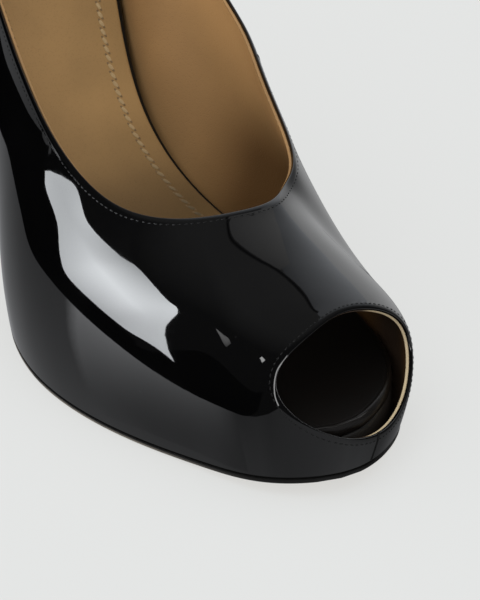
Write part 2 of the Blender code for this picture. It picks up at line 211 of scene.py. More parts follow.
PANEL_IMAGE = (
    (231.3, 217.8, 274, 210.8, 0.4, 0.5, 0.6), (229.4, 224, 276, 220, 0.38, 0.52, 0.68),
    (234.4, 238.8, 280, 230, 0.36, 0.5, 0.66), (254.4, 254.8, 284, 245, 0.36, 0.46, 0.58),
    (280.3, 269.8, 290, 263, 0.32, 0.4, 0.48))
BAND_IMAGE = [(*ends, 0, 0, 0) for ends in (
    (-4, 34, -1, 32), (-4, 70, 7, 64), (-3, 112, 25, 106), (0.5, 131, 37, 126), (8, 152, 49, 146),
    (20, 208, 39, 200), (31, 250, 48, 240), (54, 284, 60, 277), (90, 321, 97, 312), (138, 360, 146, 350),
    (185, 390, 203, 352), (230, 411, 242, 384), (248, 416, 254, 392), (258, 410, 263, 392))]
RIM_IMAGE = [(*ends, glow, 2 * glow, glow) for *ends, glow in (
    (278, 406, 279.2, 405.6, 4), (275.9, 401, 277.1, 400.8, 4), (274.2, 395, 275.4, 395, 4),
    (273.7, 388, 274.9, 388, 4), (273.9, 382, 275.1, 382.2, 4), (274.9, 376, 276, 376.4, 4),
    (276.7, 370, 277.7, 370.5, 4), (279.8, 364.6, 280.8, 365.3, 4), (283.8, 359.4, 284.5, 360.1, 3),
    (287, 355, 287.6, 355.5, 2))]
WEDGE_IMAGE = (
    (216, 329, 216.4, 328.8, 2, 2, 2), (220, 336.5, 222.5, 334, 1.4, 2, 1.4),
    (223.5, 343.5, 228.5, 338.5, 1, 1.6, 1.6), (226, 347, 231, 343.5, 0.5, 0.9, 0.7))
SPOT_IMAGE = ((259.8, 358, 261.8, 356.4, 6, 7, 6), (262, 362.6, 265.2, 360, 6, 7, 6))
NEAR_IMAGES = {"line_card": LINE_IMAGE, "panel_card": PANEL_IMAGE, "band_card": BAND_IMAGE,
               "rim_card": RIM_IMAGE, "wedge_card": WEDGE_IMAGE, "spot_card": SPOT_IMAGE}

# Studio: floor disc in metres, and the camera's sensor width in millimetres
FLOOR_RADIUS, FLOOR_STEPS = 6.0, 96
SENSOR = 36.0
WHITE = (1.0, 1.0, 1.0)


class PumpEdges(PropertyGroup):
    """Leather thicknesses and folded edges."""
    leather: FloatProperty(name="Leather", description="Thickness of the folded patent leather",
                           default=0.0010, min=0.0005, max=0.0016, unit="LENGTH")
    lining_drop: FloatProperty(name="Lining drop", description="Depth of the lining below the folded edge",
                               default=0.0010, min=0.0002, max=0.004, unit="LENGTH")
    fold: FloatProperty(name="Fold width", description="Width of the turned-in edge",
                        default=0.0017, min=0.0005, max=0.004, unit="LENGTH")
    fold_rise: FloatProperty(name="Fold rise", description="How far the turned-in edge stands proud",
                             default=0.00001, min=0.0, max=0.0006, unit="LENGTH")
    roll: FloatProperty(name="Roll", description="How far the rim of the edge rolls inwards",
                        default=0.00035, min=0.0, max=0.0006, unit="LENGTH")
    ripple: FloatProperty(name="Ripple", description="Height of the slight waves in the lasted leather",
                          default=0.000012, min=0.0, max=0.0003, unit="LENGTH")


class PumpThread(PropertyGroup):
    """Sewing of the collar, the peep toe and the sock."""
    pitch: FloatProperty(name="Edge pitch", description="Spacing of the stitches along the edges",
                         default=0.00165, min=0.0008, max=0.005, unit="LENGTH")
    thread: FloatProperty(name="Edge thread", description="Thickness of the edge thread",
                          default=0.00042, min=0.0001, max=0.001, unit="LENGTH")
    from_edge: FloatProperty(name="From edge", description="Distance of the stitch row from the edge",
                             default=0.0022, min=0.0008, max=0.006, unit="LENGTH")
    from_peep: FloatProperty(name="From peep", description="Distance of the stitch row from the peep toe",
                             default=0.0017, min=0.0008, max=0.006, unit="LENGTH")
    sunk: FloatProperty(name="Sunk", description="How deep the middle of an edge stitch lies in the leather",
                        default=0.00012, min=0.0, max=0.0004, unit="LENGTH")
    sock_pitch: FloatProperty(name="Sock pitch", description="Spacing of the stitches on the sock",
                              default=0.0027, min=0.001, max=0.006, unit="LENGTH")
    sock_thread: FloatProperty(name="Sock thread", description="Thickness of the sock's thread",
                               default=0.0009, min=0.0002, max=0.002, unit="LENGTH")
    sock_inset: FloatProperty(name="Sock inset", description="Distance of the sock's row from its edge",
                              default=0.0068, min=0.002, max=0.02, unit="LENGTH")


class PumpColours(PropertyGroup):
    """Colours of the materials."""
    patent: FloatVectorProperty(name="Patent", description="Patent leather", subtype="COLOR", size=3,
                                min=0, max=1, default=(0.0010, 0.0010, 0.0011))
    lining: FloatVectorProperty(name="Lining", description="Lining leather", subtype="COLOR", size=3,
                                min=0, max=1, default=(0.276, 0.158, 0.065))
    sock: FloatVectorProperty(name="Sock", description="Sock leather", subtype="COLOR", size=3,
                              min=0, max=1, default=(0.244, 0.146, 0.058))
    sock_thread: FloatVectorProperty(name="Sock thread", description="Thread of the sock's stitches",
                                     subtype="COLOR", size=3, min=0, max=1,
                                     default=(0.305, 0.215, 0.108))
    sole: FloatVectorProperty(name="Sole", description="Leather of the tread", subtype="COLOR", size=3,
                              min=0, max=1, default=(0.36, 0.24, 0.13))
    rubber: FloatVectorProperty(name="Rubber", description="Rubber of the top piece", subtype="COLOR",
                                size=3, min=0, max=1, default=(0.02, 0.02, 0.02))


class PumpStage(PropertyGroup):
    """Floor and lights."""
    floor: FloatVectorProperty(name="Floor", description="Tone of the floor", subtype="COLOR", size=3,
                               min=0, max=1, default=(0.735, 0.733, 0.716))
    ambient: FloatProperty(name="Ambient", description="Strength of the soft light from all round",
                           default=0.95, min=0, max=5)
    shade: FloatProperty(name="Shade", description="Share of the floor's tone that soft shadows can take",
                         default=0.15, min=0, max=1, subtype="FACTOR")
    key: FloatProperty(name="Key card", description="Brightness of the card on the outer side",
                       default=1.0, min=0, max=5)
    inner: FloatProperty(name="Inner card", description="Brightness of the card on the inner side",
                         default=1.0, min=0, max=5)


class PumpSettings(PropertyGroup):
    """All sizes and colours of the pump."""
    edges: PointerProperty(type=PumpEdges)
    thread: PointerProperty(type=PumpThread)
    colours: PointerProperty(type=PumpColours)
    stage: PointerProperty(type=PumpStage)


def settings():
    """The pump's settings in this scene."""
    return bpy.context.scene.pump


def ramp(distance, length):
    """Height of a path that turns smoothly from level to a slope of one over the given length."""
    share = np.clip(distance / length, 0, 1)
    return length * (share**3 - share**4 / 2) + np.maximum(distance - length, 0)


def ease(share):
    """Smooth step from 0 to 1."""
    share = np.clip(share, 0, 1)
    return share * share * (3 - 2 * share)


def toe_spring(x):
    """Lift of the tread under the toes."""
    return TOE_SLOPE * ramp(x - TOE_START, TOE_BEND)


def seat_flattening(x):
    """Height lost to the flatter heel seat, behind the shank."""
    return (SHANK_SLOPE - SEAT_SLOPE) * ramp(SEAT_START - x, SEAT_BEND)


def insole_top(x):
    """Height of the insole's upper face, level across the shoe."""
    tread = OUTSOLE + GAP + PLATFORM + GAP + INSOLE
    shank = SHANK_SLOPE * ramp(RISE_START - x, RISE_BEND)
    return tread + INSOLE_TOE_SHARE * toe_spring(x) + shank - seat_flattening(x)


def insole_under(x):
    """Height of the insole's lower face."""
    return insole_top(x) - INSOLE


def merge_place():
    """Place along the shoe where the rising back of the platform meets the line of the shank."""
    shank_at_zero = OUTSOLE + GAP + PLATFORM + GAP + SHANK_SLOPE * (RISE_START - RISE_BEND / 2)
    back_at_zero = OUTSOLE + GAP + BACK_SLOPE * (BREAK_START - BREAK_BEND / 2)
    return (shank_at_zero - back_at_zero) / (SHANK_SLOPE - BACK_SLOPE)


def sole_under(x):
    """Height of the outsole's lower face: toe spring, flat tread, steep platform back, shank, seat."""
    back = BACK_SLOPE * ramp(BREAK_START - x, BREAK_BEND)
    merge_start = merge_place() + MERGE_BEND / 2
    easing = (BACK_SLOPE - SHANK_SLOPE) * ramp(merge_start - x, MERGE_BEND)
    return toe_spring(x) + back - easing - seat_flattening(x)


def sole_top(x):
    """Height of the outsole's upper face, which the heel's seat carries on."""
    return sole_under(x) + OUTSOLE


def platform_end():
    """Place behind the ball where the platform has thinned to its tail."""
    x = np.linspace(BREAK_START, merge_place(), OUTLINE_STEPS)
    room = insole_under(x) - GAP - (sole_top(x) + GAP)
    return x[np.nonzero(room > PLATFORM_TAIL)[0][-1]]


def closed_spline(knots, period, rows):
    """Smooth closed cubic curve through the rows; returns a function of place and order of slope."""
    count = len(knots)
    step = np.diff(np.append(knots, knots[0] + period))
    matrix = np.zeros((count, count))
    right = np.zeros(rows.shape)
    for i in range(count):
        before, after = (i - 1) % count, (i + 1) % count
        matrix[i, before] += step[before]
        matrix[i, i] += 2 * (step[before] + step[i])
        matrix[i, after] += step[i]
        right[i] = 6 * ((rows[after] - rows[i]) / step[i] - (rows[i] - rows[before]) / step[before])
    bend = np.linalg.solve(matrix, right)

    def curve(place, slope=False):
        place = np.mod(place, period)
        i = np.clip(np.searchsorted(knots, place, side="right") - 1, 0, count - 1)
        j = (i + 1) % count
        width = step[i][:, None]
        past = (place - knots[i])[:, None]
        left = width - past
        from_i = rows[i] / width - bend[i] * width / 6
        from_j = rows[j] / width - bend[j] * width / 6
        if slope:
            return (bend[j] * past**2 - bend[i] * left**2) / (2 * width) - from_i + from_j
        return (bend[i] * left**3 + bend[j] * past**3) / (6 * width) + from_i * left + from_j * past

    return curve


def last_curve():
    """Curve of all the section columns round the shoe, in metres and radians, and its length."""
    rows = np.array(list(SECTIONS.values()), dtype=float)
    column = {name: i for i, name in enumerate(COLUMNS)}
    for name in ("along", "top_along"):
        rows[:, column[name]] = (rows[:, column[name]] - 0.5) * LENGTH
    for name in ("side", "top_side"):
        rows[:, column[name]] *= BALL_WIDTH
    rows[:, column["top_rise"]] *= 0.001
    for name in ("lean_foot", "lean_top"):
        rows[:, column[name]] = np.radians(rows[:, column[name]])
    steps = np.linalg.norm(np.roll(rows[:, :2], -1, axis=0) - rows[:, :2], axis=1)
    knots = np.append(0, np.cumsum(steps)[:-1])
    return closed_spline(knots, steps.sum(), rows), steps.sum()


LAST, GIRTH = last_curve()


def unit(vectors):
    """The vectors at length one."""
    return vectors / np.maximum(np.linalg.norm(vectors, axis=-1, keepdims=True), 1e-12)


def inward(slope):
    """Unit plan direction into the shoe, for a tangent that runs clockwise seen from above."""
    return unit(np.column_stack([slope[:, 1], -slope[:, 0]]))


def foot_edge(place, inset=0.0, tuck=0.0):
    """Plan points of the foot outline, moved into the shoe by the inset and, at the toe, the tuck."""
    plan = LAST(place)[:, :2]
    toe_share = np.clip((plan[:, :1] - TUCK_START) / (LENGTH / 2 - TUCK_START), 0, 1)
    return plan + (inset + tuck * toe_share) * inward(LAST(place, slope=True)[:, :2])


def skin(place, up):
    """Points of the upper's outer face, each at its own place round the shoe and height 0 to 1."""
    row, slope = LAST(place), LAST(place, slope=True)
    foot_in, top_in = inward(slope[:, :2]), inward(slope[:, 2:4])
    foot = np.column_stack([row[:, :2], sole_top(row[:, 0]) + GAP])
    top = np.column_stack([row[:, 2:4], insole_top(row[:, 2]) + row[:, 4]])
    reach = (row[:, 7] * np.linalg.norm(top - foot, axis=1))[:, None]
    lean_foot, lean_top = row[:, 5:6], row[:, 6:7]
    rise = foot + reach * np.hstack([-foot_in * np.sin(lean_foot), np.cos(lean_foot)])
    fall = top - reach * np.hstack([top_in * np.cos(lean_top), np.sin(lean_top)])
    t = np.asarray(up)[:, None]
    return (1 - t)**3 * foot + 3 * t * (1 - t)**2 * rise + 3 * t**2 * (1 - t) * fall + t**3 * top


def outward(surface, place, up):
    """Unit directions out of the wall for a surface given by place and height."""
    along = surface(place + 2e-5, up) - surface(place - 2e-5, up)
    rising = surface(place, up + 2e-4) - surface(place, up - 2e-4)
    return unit(np.cross(rising, along))


def collar_rate(place):
    """Length of the section per unit of height at the collar."""
    one = np.ones(len(place))
    return np.linalg.norm(skin(place, one) - skin(place, one - 1e-3), axis=1) / 1e-3


def peep_value(points):
    """Measure of the egg of the peep toe: below 0 in the opening, 0 on its edge and above 0 outside it."""
    dx, dy = points[:, 0] - PEEP_CENTRE[0], points[:, 1] - PEEP_CENTRE[1]
    lift = (2 * points[:, 2] - PEEP_HIGH - PEEP_LOW) / (PEEP_HIGH - PEEP_LOW)
    spread = PEEP_HALF_ANGLE * (1 + PEEP_FLARE * np.clip(lift, -3, 3))
    across = (np.degrees(np.arctan2(dy, dx)) - PEEP_TURN - PEEP_SLANT * lift) / spread
    return np.hypot(across, lift) - 1


def peep_distance(place, up):
    """Distance along the skin from the edge of the peep toe, negative inside the opening."""
    points = skin(place, up)
    along = skin(place + 1e-4, up) - points
    rising = skin(place, up + 1e-3) - points
    value = peep_value(points)
    by_along = peep_value(points + along) - value
    by_rising = peep_value(points + rising) - value
    a, b, c = (along**2).sum(axis=1), (along * rising).sum(axis=1), (rising**2).sum(axis=1)
    steepness = (c * by_along**2 - 2 * b * by_along * by_rising + a * by_rising**2) / (a * c - b**2)
    in_front = points[:, 0] > PEEP_CENTRE[0] + 0.01
    return np.where(in_front, value / np.sqrt(np.maximum(steepness, 1)), 1.0)


def settle(place, up, value):
    """Places and heights moved over the skin to where the value is 0."""
    for _ in range(4):
        here = value(place, up)
        by_place = (value(place + 1e-5, up) - here) / 1e-5
        by_up = (value(place, up + 1e-4) - here) / 1e-4
        size = by_place**2 + (by_up * 20)**2
        place = place - here * by_place / size
        up = up - here * by_up * 400 / size
    return place, up


def relief(points):
    """Height of the leather's slight waves at the points."""
    height = np.zeros(len(points))
    dice = np.random.default_rng(11)
    for _ in range(WAVES):
        direction = unit(dice.normal(size=3))
        length = dice.uniform(WAVE_SHORT, WAVE_LONG)
        phase = dice.uniform(0, 2 * np.pi)
        height += np.sin(points @ direction * (2 * np.pi / length) + phase) * length / WAVE_MEAN
    return height * settings().edges.ripple / 2.6


def fold(distance):
    """Height of the turned-in edge and of the sewn groove at a distance from an edge."""
    edges, thread = settings().edges, settings().thread
    proud = edges.fold_rise * (1 - ease((distance - edges.fold) / 0.0008))
    groove = 0.5 * edges.fold_rise * np.exp(-((distance - thread.from_edge) / 0.0005)**2)
    roll = edges.roll * np.clip(1 - distance / edges.fold, 0, 1)**2
    return proud - groove - roll


def leather(place, up):
    """Points of the finished outer face: skin, waves and folded edges."""
    points = skin(place, up)
    height = relief(points)
    height += fold((1 - up) * collar_rate(place))
    height += fold(peep_distance(place, up))
    return points + outward(skin, place, up) * height[:, None]


def spaced(density, count, closed):
    """Values from 0 to 1 whose spacing follows a density function."""
    fine = np.linspace(0, 1, 4001)
    weight = density(fine)
    total = np.append(0, np.cumsum((weight[1:] + weight[:-1]) / 2))
    return np.interp(np.linspace(0, total[-1], count + 1), total, fine)[:-1 if closed else None]


class Sheet:
    """Grid over the upper's skin, closer at the toe and collar, with the peep toe cut out of it."""

    def __init__(self, columns, rows, trim, margin):
        round_shoe = spaced(lambda s: 1 + 2.4 * np.exp(-(np.minimum(s, 1 - s) / 0.11)**2), columns, True)
        share = spaced(lambda s: 1 + 3.5 * np.exp(-((1 - s) / 0.05)**2), rows, False)
        base = round_shoe * GIRTH
        end = 1 - trim / collar_rate(base)
        self.margin = margin
        self.place = np.tile(base, (rows + 1, 1))
        self.up = share[:, None] * end[None]
        self.cut(self.snap())

    def value(self, place, up):
        return peep_distance(place.ravel(), up.ravel()).reshape(place.shape) - self.margin

    def snap(self):
        """Moves the grid points nearest to the opening's edge onto it."""
        value = self.value(self.place, self.up)
        best = np.full(value.shape, 0.5)
        moves = [np.zeros(value.shape), np.zeros(value.shape)]
        forward = [np.diff(self.up, axis=0, append=self.up[-1:]),
                   np.mod(np.roll(self.place, -1, axis=1) - self.place, GIRTH)]
        for axis in (0, 1):
            after = np.roll(value, -1, axis=axis)
            if axis == 0:
                after[-1] = value[-1]
            crossed = value * after < 0
            share = np.where(crossed, value / np.where(crossed, value - after, 1), 1)
            for side in (0, 1):
                reach = np.where(crossed, share if side == 0 else 1 - share, 1)
                step = forward[axis] * (1 if side == 0 else -1)
                if side == 1:
                    reach = np.roll(reach, 1, axis=axis)
                    step = np.roll(step, 1, axis=axis)
                better = reach <= best
                best[better] = reach[better]
                moves[axis][better] = (step * reach)[better]
                moves[1 - axis][better] = 0
        touched = (moves[0] != 0) | (moves[1] != 0)
        self.up = self.up + moves[0]
        self.place = self.place + moves[1]
        self.place[touched], self.up[touched] = settle(self.place[touched], self.up[touched], self.value)
        value[touched] = 0
        return value

    def cut(self, value):
        """Keeps the faces outside the opening, and finds the loop of points on its edge."""
        index = np.arange(value.size).reshape(value.shape)
        right = np.roll(index, -1, axis=1)
        quads = np.stack([index[:-1], right[:-1], right[1:], index[1:]], axis=-1).reshape(-1, 4)
        state = np.sign(value).ravel()
        corner = state[quads]
        solid = (corner >= 0).all(axis=1) & (corner > 0).any(axis=1)
        mixed = (corner < 0).any(axis=1) & (corner > 0).any(axis=1)
        faces = quads[solid].tolist()
        for quad in quads[mixed]:
            kept = [int(i) for i in quad if state[i] >= 0]
            if len(kept) >= 3:
                faces.append(kept)
        edges = {}
        for face in faces:
            if min(state[i] for i in face) > 0:
                continue
            for a, b in zip(face, face[1:] + face[:1]):
                edges[(a, b)] = True
        follow = {a: b for a, b in edges if (b, a) not in edges and state[a] == 0 and state[b] == 0}
        start = next(iter(follow))
        loop = [start]
        while follow[loop[-1]] != start:
            loop.append(follow[loop[-1]])
        used = np.unique(np.concatenate([np.array(face) for face in faces]))
        renumber = np.full(value.size, -1)
        renumber[used] = np.arange(len(used))
        self.faces = [[int(renumber[i]) for i in face] for face in faces]
        self.peep = renumber[np.array(loop)]
        self.foot = renumber[index[0]]
        self.collar = renumber[index[-1]]
        self.place = self.place.ravel()[used]
        self.up = self.up.ravel()[used]


def shift():
    """From the last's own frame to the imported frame: the middle of the upper in plan."""
    place = np.linspace(0, GIRTH, 120, endpoint=False)
    up = np.linspace(0, 1, 13)
    points = skin(np.tile(place, 13), np.repeat(up, 120))
    low, high = (np.array(corner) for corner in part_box("upper"))
    middle = (low + high) / 2 - (points.min(axis=0) + points.max(axis=0)) / 2
    return np.array((middle[0], middle[1], 0.0))


SHIFT = shift()


def add_object(name, data):
    """Object of a mesh or a camera, linked to the scene."""
    made = bpy.data.objects.new(name, data)
    bpy.context.scene.collection.objects.link(made)
    return made


def store(mesh, label, values):
    """Keeps a number or a direction for each point of a mesh."""
    values = np.asarray(values, dtype=np.float32)
    kind, key = ("FLOAT", "value") if values.ndim == 1 else ("FLOAT_VECTOR", "vector")
    mesh.attributes.new(label, kind, "POINT").data.foreach_set(key, values.ravel())


def piece_from(name, points, faces, material, normals=None, sharp=None, marks=None):
    """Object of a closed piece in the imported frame, with its faces turned outwards."""
    mesh = bpy.data.meshes.new(name)
    mesh.from_pydata((np.asarray(points) + SHIFT).tolist(), [], faces)
    work = bmesh.new()
    work.from_mesh(mesh)
    bmesh.ops.recalc_face_normals(work, faces=work.faces)
    work.to_mesh(mesh)
    work.free()
    mesh.shade_smooth()
    if sharp is not None:
        mesh.set_sharp_from_angle(angle=np.radians(sharp))
    if normals is not None:
        mesh.normals_split_custom_set_from_vertices(np.asarray(normals).tolist())
    for label, values in (marks or {}).items():
        store(mesh, label, values)
    mesh.materials.append(material)
    return add_object(name, mesh)


def belongs(piece, node, replaces=True):
    """Puts a finished piece on the shoe's body and in its node's stead."""
    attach(piece, "root")
    if replaces:
        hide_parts(node)


def ring_quads(first, second):
    """Quads between two closed rings of point numbers."""
    count = len(first)
    return [(int(first[i]), int(first[(i + 1) % count]), int(second[(i + 1) % count]), int(second[i]))
            for i in range(count)]


def tube_faces(rings, count):
    """Quads between successive rings of equal count."""
    faces = []
    for i in range(rings - 1):
        faces += ring_quads(np.arange(count) + i * count, np.arange(count) + (i + 1) * count)
    return faces


def lined_wall(sheet, surface, near, far):
    """Closed sheet of leather between two depths under a surface, with rounded edges."""
    out = outward(surface, sheet.place, sheet.up)
    face = surface(sheet.place, sheet.up)
    near_points = face - out * near
    far_points = face - out * far
    foot_place = sheet.place[sheet.foot]
    for depth, points in ((near, near_points), (far, far_points)):
        plan = foot_edge(foot_place, depth)
        points[sheet.foot] = np.column_stack([plan, sole_top(plan[:, 0]) + GAP])
    count = len(face)
    points, normals = [near_points, far_points], [out, -out]
    faces = [tuple(reversed(f)) for f in sheet.faces]
    faces += [tuple(i + count for i in f) for f in sheet.faces]
    faces += ring_quads(sheet.foot, sheet.foot + count)
    rising = unit(surface(sheet.place[sheet.collar], sheet.up[sheet.collar])
                  - surface(sheet.place[sheet.collar], sheet.up[sheet.collar] - 1e-3))
    loop = face[sheet.peep]
    along = unit(np.roll(loop, -1, axis=0) - np.roll(loop, 1, axis=0))
    into = unit(np.cross(out[sheet.peep], along))
    if np.sum(into * (loop.mean(axis=0) - loop)) < 0:
        into = -into
    half = (far - near) / 2
    total = 2 * count
    for ring, ahead in ((sheet.collar, rising), (sheet.peep, into)):
        before = ring
        for turn in np.linspace(0, np.pi, RIM_STEPS + 1)[1:-1]:
            side = np.sign(np.cos(turn)) * abs(np.cos(turn))**(2 / RIM_SQUARE)
            crest = np.sin(turn)**(2 / RIM_SQUARE)
            points.append(near_points[ring] - out[ring] * half * (1 - side) + ahead * half * crest)
            normals.append(unit(out[ring] * side**(RIM_SQUARE - 1) + ahead * crest**(RIM_SQUARE - 1)))
            after = np.arange(total, total + len(ring))
            faces += ring_quads(before, after)
            before, total = after, total + len(ring)
        faces += ring_quads(before, ring + count)
    return np.vstack(points), faces, np.vstack(normals)


def outline_sides(stations, inset, tuck=0.0):
    """Outer and inner side's y of the foot outline at each x, and the x of its two ends."""
    edge = foot_edge(np.linspace(0, GIRTH, OUTLINE_STEPS, endpoint=False), inset, tuck)
    toe, heel = edge[:, 0].argmax(), edge[:, 0].argmin()
    edge = np.roll(edge, -toe, axis=0)
    heel = (heel - toe) % OUTLINE_STEPS
    outer = edge[:heel + 1]
    inner = np.vstack([edge[heel:], edge[:1]])
    outer_y = np.interp(stations, outer[::-1, 0], outer[::-1, 1])
    inner_y = np.interp(stations, inner[:, 0], inner[:, 1])
    return outer_y, inner_y, edge[heel], edge[0]


def plate_ring(stations, inset, height, tip_back, tip_front, tuck=0.0):
    """One rim of a plate: outer side front to back, heel point, inner side back to front, toe point."""
    outer_y, inner_y, back, front = outline_sides(stations, inset, tuck)
    outer = np.column_stack([stations, outer_y])
    inner = np.column_stack([stations, inner_y])[::-1]
    parts = [outer, back[None], inner, front[None]]
    parts = [part for part, keep in zip(parts, (True, tip_back, True, tip_front)) if keep]
    plan = np.vstack(parts)
    return np.column_stack([plan, height(plan[:, 0])])


def cap_faces(first, stations, tip_back, tip_front):
    """Faces that close a plate's rim with strips straight across the shoe."""
    outer = [first + i for i in range(stations)]
    start = first + stations + (1 if tip_back else 0)
    inner = [start + stations - 1 - i for i in range(stations)]
    faces = [(outer[i], outer[i + 1], inner[i + 1], inner[i]) for i in range(stations - 1)]
    if tip_back:
        faces.append((outer[-1], first + stations, inner[-1]))
    if tip_front:
        faces.append((inner[0], start + stations, outer[0]))
    return faces


def plate(under, top, inset, edge, back=None, tuck=0.0):
    """Closed layer that follows the foot outline, with its edge profile and finish marks."""
    deepest = inset + max(step for step, _, _ in edge)
    _, _, heel_point, toe_point = outline_sides(np.zeros(1), deepest, tuck)
    tip_back = back is None
    end = heel_point[0] + TIP_CLEARANCE if tip_back else back
    stations = np.cos(np.linspace(0, np.pi, STATIONS)) * LENGTH / 2
    stations = stations[(stations > end + 1e-5) & (stations < toe_point[0] - TIP_CLEARANCE)]
    stations = np.append(stations, end)
    rings, marks = [], []
    for step, share, mark in edge:
        def height(x, share=share):
            return under(x) * (1 - share) + top(x) * share
        rings.append(plate_ring(stations, inset + step, height, tip_back, True, tuck))
        marks.append(np.full(len(rings[-1]), mark))
    count = len(rings[0])
    faces = tube_faces(len(rings), count)
    faces += cap_faces(0, len(stations), tip_back, True)
    faces += cap_faces((len(rings) - 1) * count, len(stations), tip_back, True)
    return np.vstack(rings), faces, np.concatenate(marks)


def rounded(ring):
    """A closed ring with its corners cut twice, which leaves them soft."""
    for _ in range(2):
        ahead = np.roll(ring, -1, axis=0)
        ring = np.stack([ring * 0.75 + ahead * 0.25, ring * 0.25 + ahead * 0.75], axis=1).reshape(-1, 3)
    return ring


def heel_rings():
    """Seat rim and tip rim of the heel, point for point, closed across the breast."""
    _, _, back, _ = outline_sides(np.zeros(1), HEEL_INSET)
    front = BREAST - GAP
    run = np.sin(np.linspace(0, np.pi / 2, HEEL_STATIONS + 1))[:-1]
    stations = front + (back[0] - front) * run
    seat = plate_ring(stations, HEEL_INSET, sole_top, True, False)
    share = (front - seat[:, 0]) / (front - back[0])
    half = TIP_WIDTH / 2 * np.sqrt(np.clip(1 - share**2, 0, 1))
    half[:HEEL_STATIONS] *= -1
    tip = np.column_stack([TIP_FRONT - TIP_LENGTH * share, back[1] + half, np.zeros(len(half))])
    across = np.linspace(0, 1, 22)[1:-1, None]
    seat = np.vstack([seat, seat[-1] * (1 - across) + seat[0] * across])
    tip = np.vstack([tip, tip[-1] * (1 - across) + tip[0] * across])
    return seat, tip


def loft(rings):
    """Closed solid through rings of equal count, with fans at both ends."""
    count = len(rings[0])
    faces = tube_faces(len(rings), count)
    points = np.vstack(list(rings) + [rings[0].mean(axis=0)[None], rings[-1].mean(axis=0)[None]])
    first, last = len(points) - 2, len(points) - 1
    base = (len(rings) - 1) * count
    for i in range(count):
        j = (i + 1) % count
        faces.append((first, i, j))
        faces.append((last, base + j, base + i))
    return points, faces


def put(tree, socket, value):
    """Links an output to a socket, or sets the socket's own value."""
    if isinstance(value, bpy.types.NodeSocket):
        tree.links.new(value, socket)
    elif socket.type == "RGBA" and len(value) == 3:
        socket.default_value = (*value, 1.0)
    else:
        socket.default_value = value


def add_node(tree, kind, options, sockets):
    """Node in a tree: its options are set first, then the values or links of its sockets."""
    node = tree.nodes.new(kind)
    for name, value in options.items():
        setattr(node, name, value)
    for key, value in sockets.items():
        put(tree, node.inputs[key], value)
    return node


def bare(value):
    """The socket of a shader value, or the value itself."""
    return value.socket if isinstance(value, Field) else value


class Field:
    """A shader value that can be used in plain sums."""

    def __init__(self, finish, socket):
        self.finish, self.socket = finish, socket

    def math(self, operation, *values):
        return self.finish.node("ShaderNodeMath", {"operation": operation}, dict(enumerate(values)))

    def __add__(self, other):
        return self.math("ADD", self, other)

    def __radd__(self, other):
        return self.math("ADD", other, self)

    def __sub__(self, other):
        return self.math("SUBTRACT", self, other)

    def __rsub__(self, other):
        return self.math("SUBTRACT", other, self)

    def __mul__(self, other):
        return self.math("MULTIPLY", self, other)

    def __rmul__(self, other):
        return self.math("MULTIPLY", other, self)

    def steps(self, low, high):
        """0 below low, 1 above high and smooth between."""
        return self.finish.node("ShaderNodeMapRange", {"interpolation_type": "SMOOTHSTEP"},
                                {"Value": self, "From Min": low, "From Max": high})


class Finish:
    """A material under construction."""

    def __init__(self, name):
        self.material = bpy.data.materials.new(name)
        self.material.use_nodes = True
        self.tree = self.material.node_tree
        self.shader = self.tree.nodes["Principled BSDF"]
        self.place = self.node("ShaderNodeTexCoord", {}, {}, "Object")

    def node(self, kind, options, sockets, output=0):
        """Adds a node with its options and inputs, and returns one of its outputs."""
        plain = {key: bare(value) for key, value in sockets.items()}
        return Field(self, add_node(self.tree, kind, options, plain).outputs[output])

    def noise(self, scale, detail=3.0, rough=0.5):
        """Cloudy value from 0 to 1 with features of about one over the scale, in metres."""
        return self.node("ShaderNodeTexNoise", {},
                         {"Vector": self.place, "Scale": scale, "Detail": detail, "Roughness": rough}, "Fac")

    def cells(self, scale):
        """Distance to the nearest of scattered points."""
        return self.node("ShaderNodeTexVoronoi", {}, {"Vector": self.place, "Scale": scale}, "Distance")

    def mix(self, share, first, second):
        """Colour between two colours."""
        return self.node("ShaderNodeMix", {"data_type": "RGBA"}, {0: share, 6: first, 7: second}, 2)

    def mark(self, label):
        """A mark stored on the mesh, from 0 to 1."""
        return self.node("ShaderNodeAttribute", {"attribute_name": label}, {}, "Fac")

    def bump(self, height, distance, strength=1.0):
        """Normal from a height field in metres."""
        return self.node("ShaderNodeBump", {},
                         {"Height": height, "Distance": distance, "Strength": strength}, "Normal")

    def done(self, **inputs):
        """Sets the shader's inputs by name and returns the material."""
        for name, value in inputs.items():
            put(self.tree, self.shader.inputs[name.replace("_", " ")], bare(value))
        return self.material


def darker(colour, share):
    """A colour scaled in brightness."""
    return tuple(channel * share for channel in colour)


def patent_finish(name):
    """Black lacquered leather: deep gloss, faint unevenness and finger haze."""
    finish = Finish(name)
    black = tuple(settings().colours.patent)
    haze = finish.noise(38, 4).steps(0.45, 0.8)
    dust = finish.cells(420).steps(0.10, 0.02) * finish.noise(90).steps(0.55, 0.75)
    peel = finish.noise(330, 2)
    return finish.done(
        Base_Color=finish.mix(dust * 0.5, finish.mix(haze, black, darker(black, 1.5)), (0.06, 0.06, 0.06)),
        Roughness=0.035 + haze * 0.03 + dust * 0.2,
        Coat_Weight=0.04 + haze * 0.03,
        Coat_Roughness=0.03,
        Normal=finish.bump(peel, 0.000006),
    )


def tan_leather(finish, colour, clouds, grain_scale, low, high):
    """Colour, grain and height of smooth tan leather with fine pores, between two tones."""
    tone = finish.noise(clouds, 3).steps(0.3, 0.75)
    pores = finish.cells(1500).steps(0.0, 0.45)
    grain = finish.noise(grain_scale, 4)
    hue = finish.mix(tone, darker(colour, low), darker(colour, high))
    tan = finish.mix((1 - pores) * 0.25, hue, darker(colour, 0.5))
    return tan, grain, pores * 0.6 + grain * 0.6


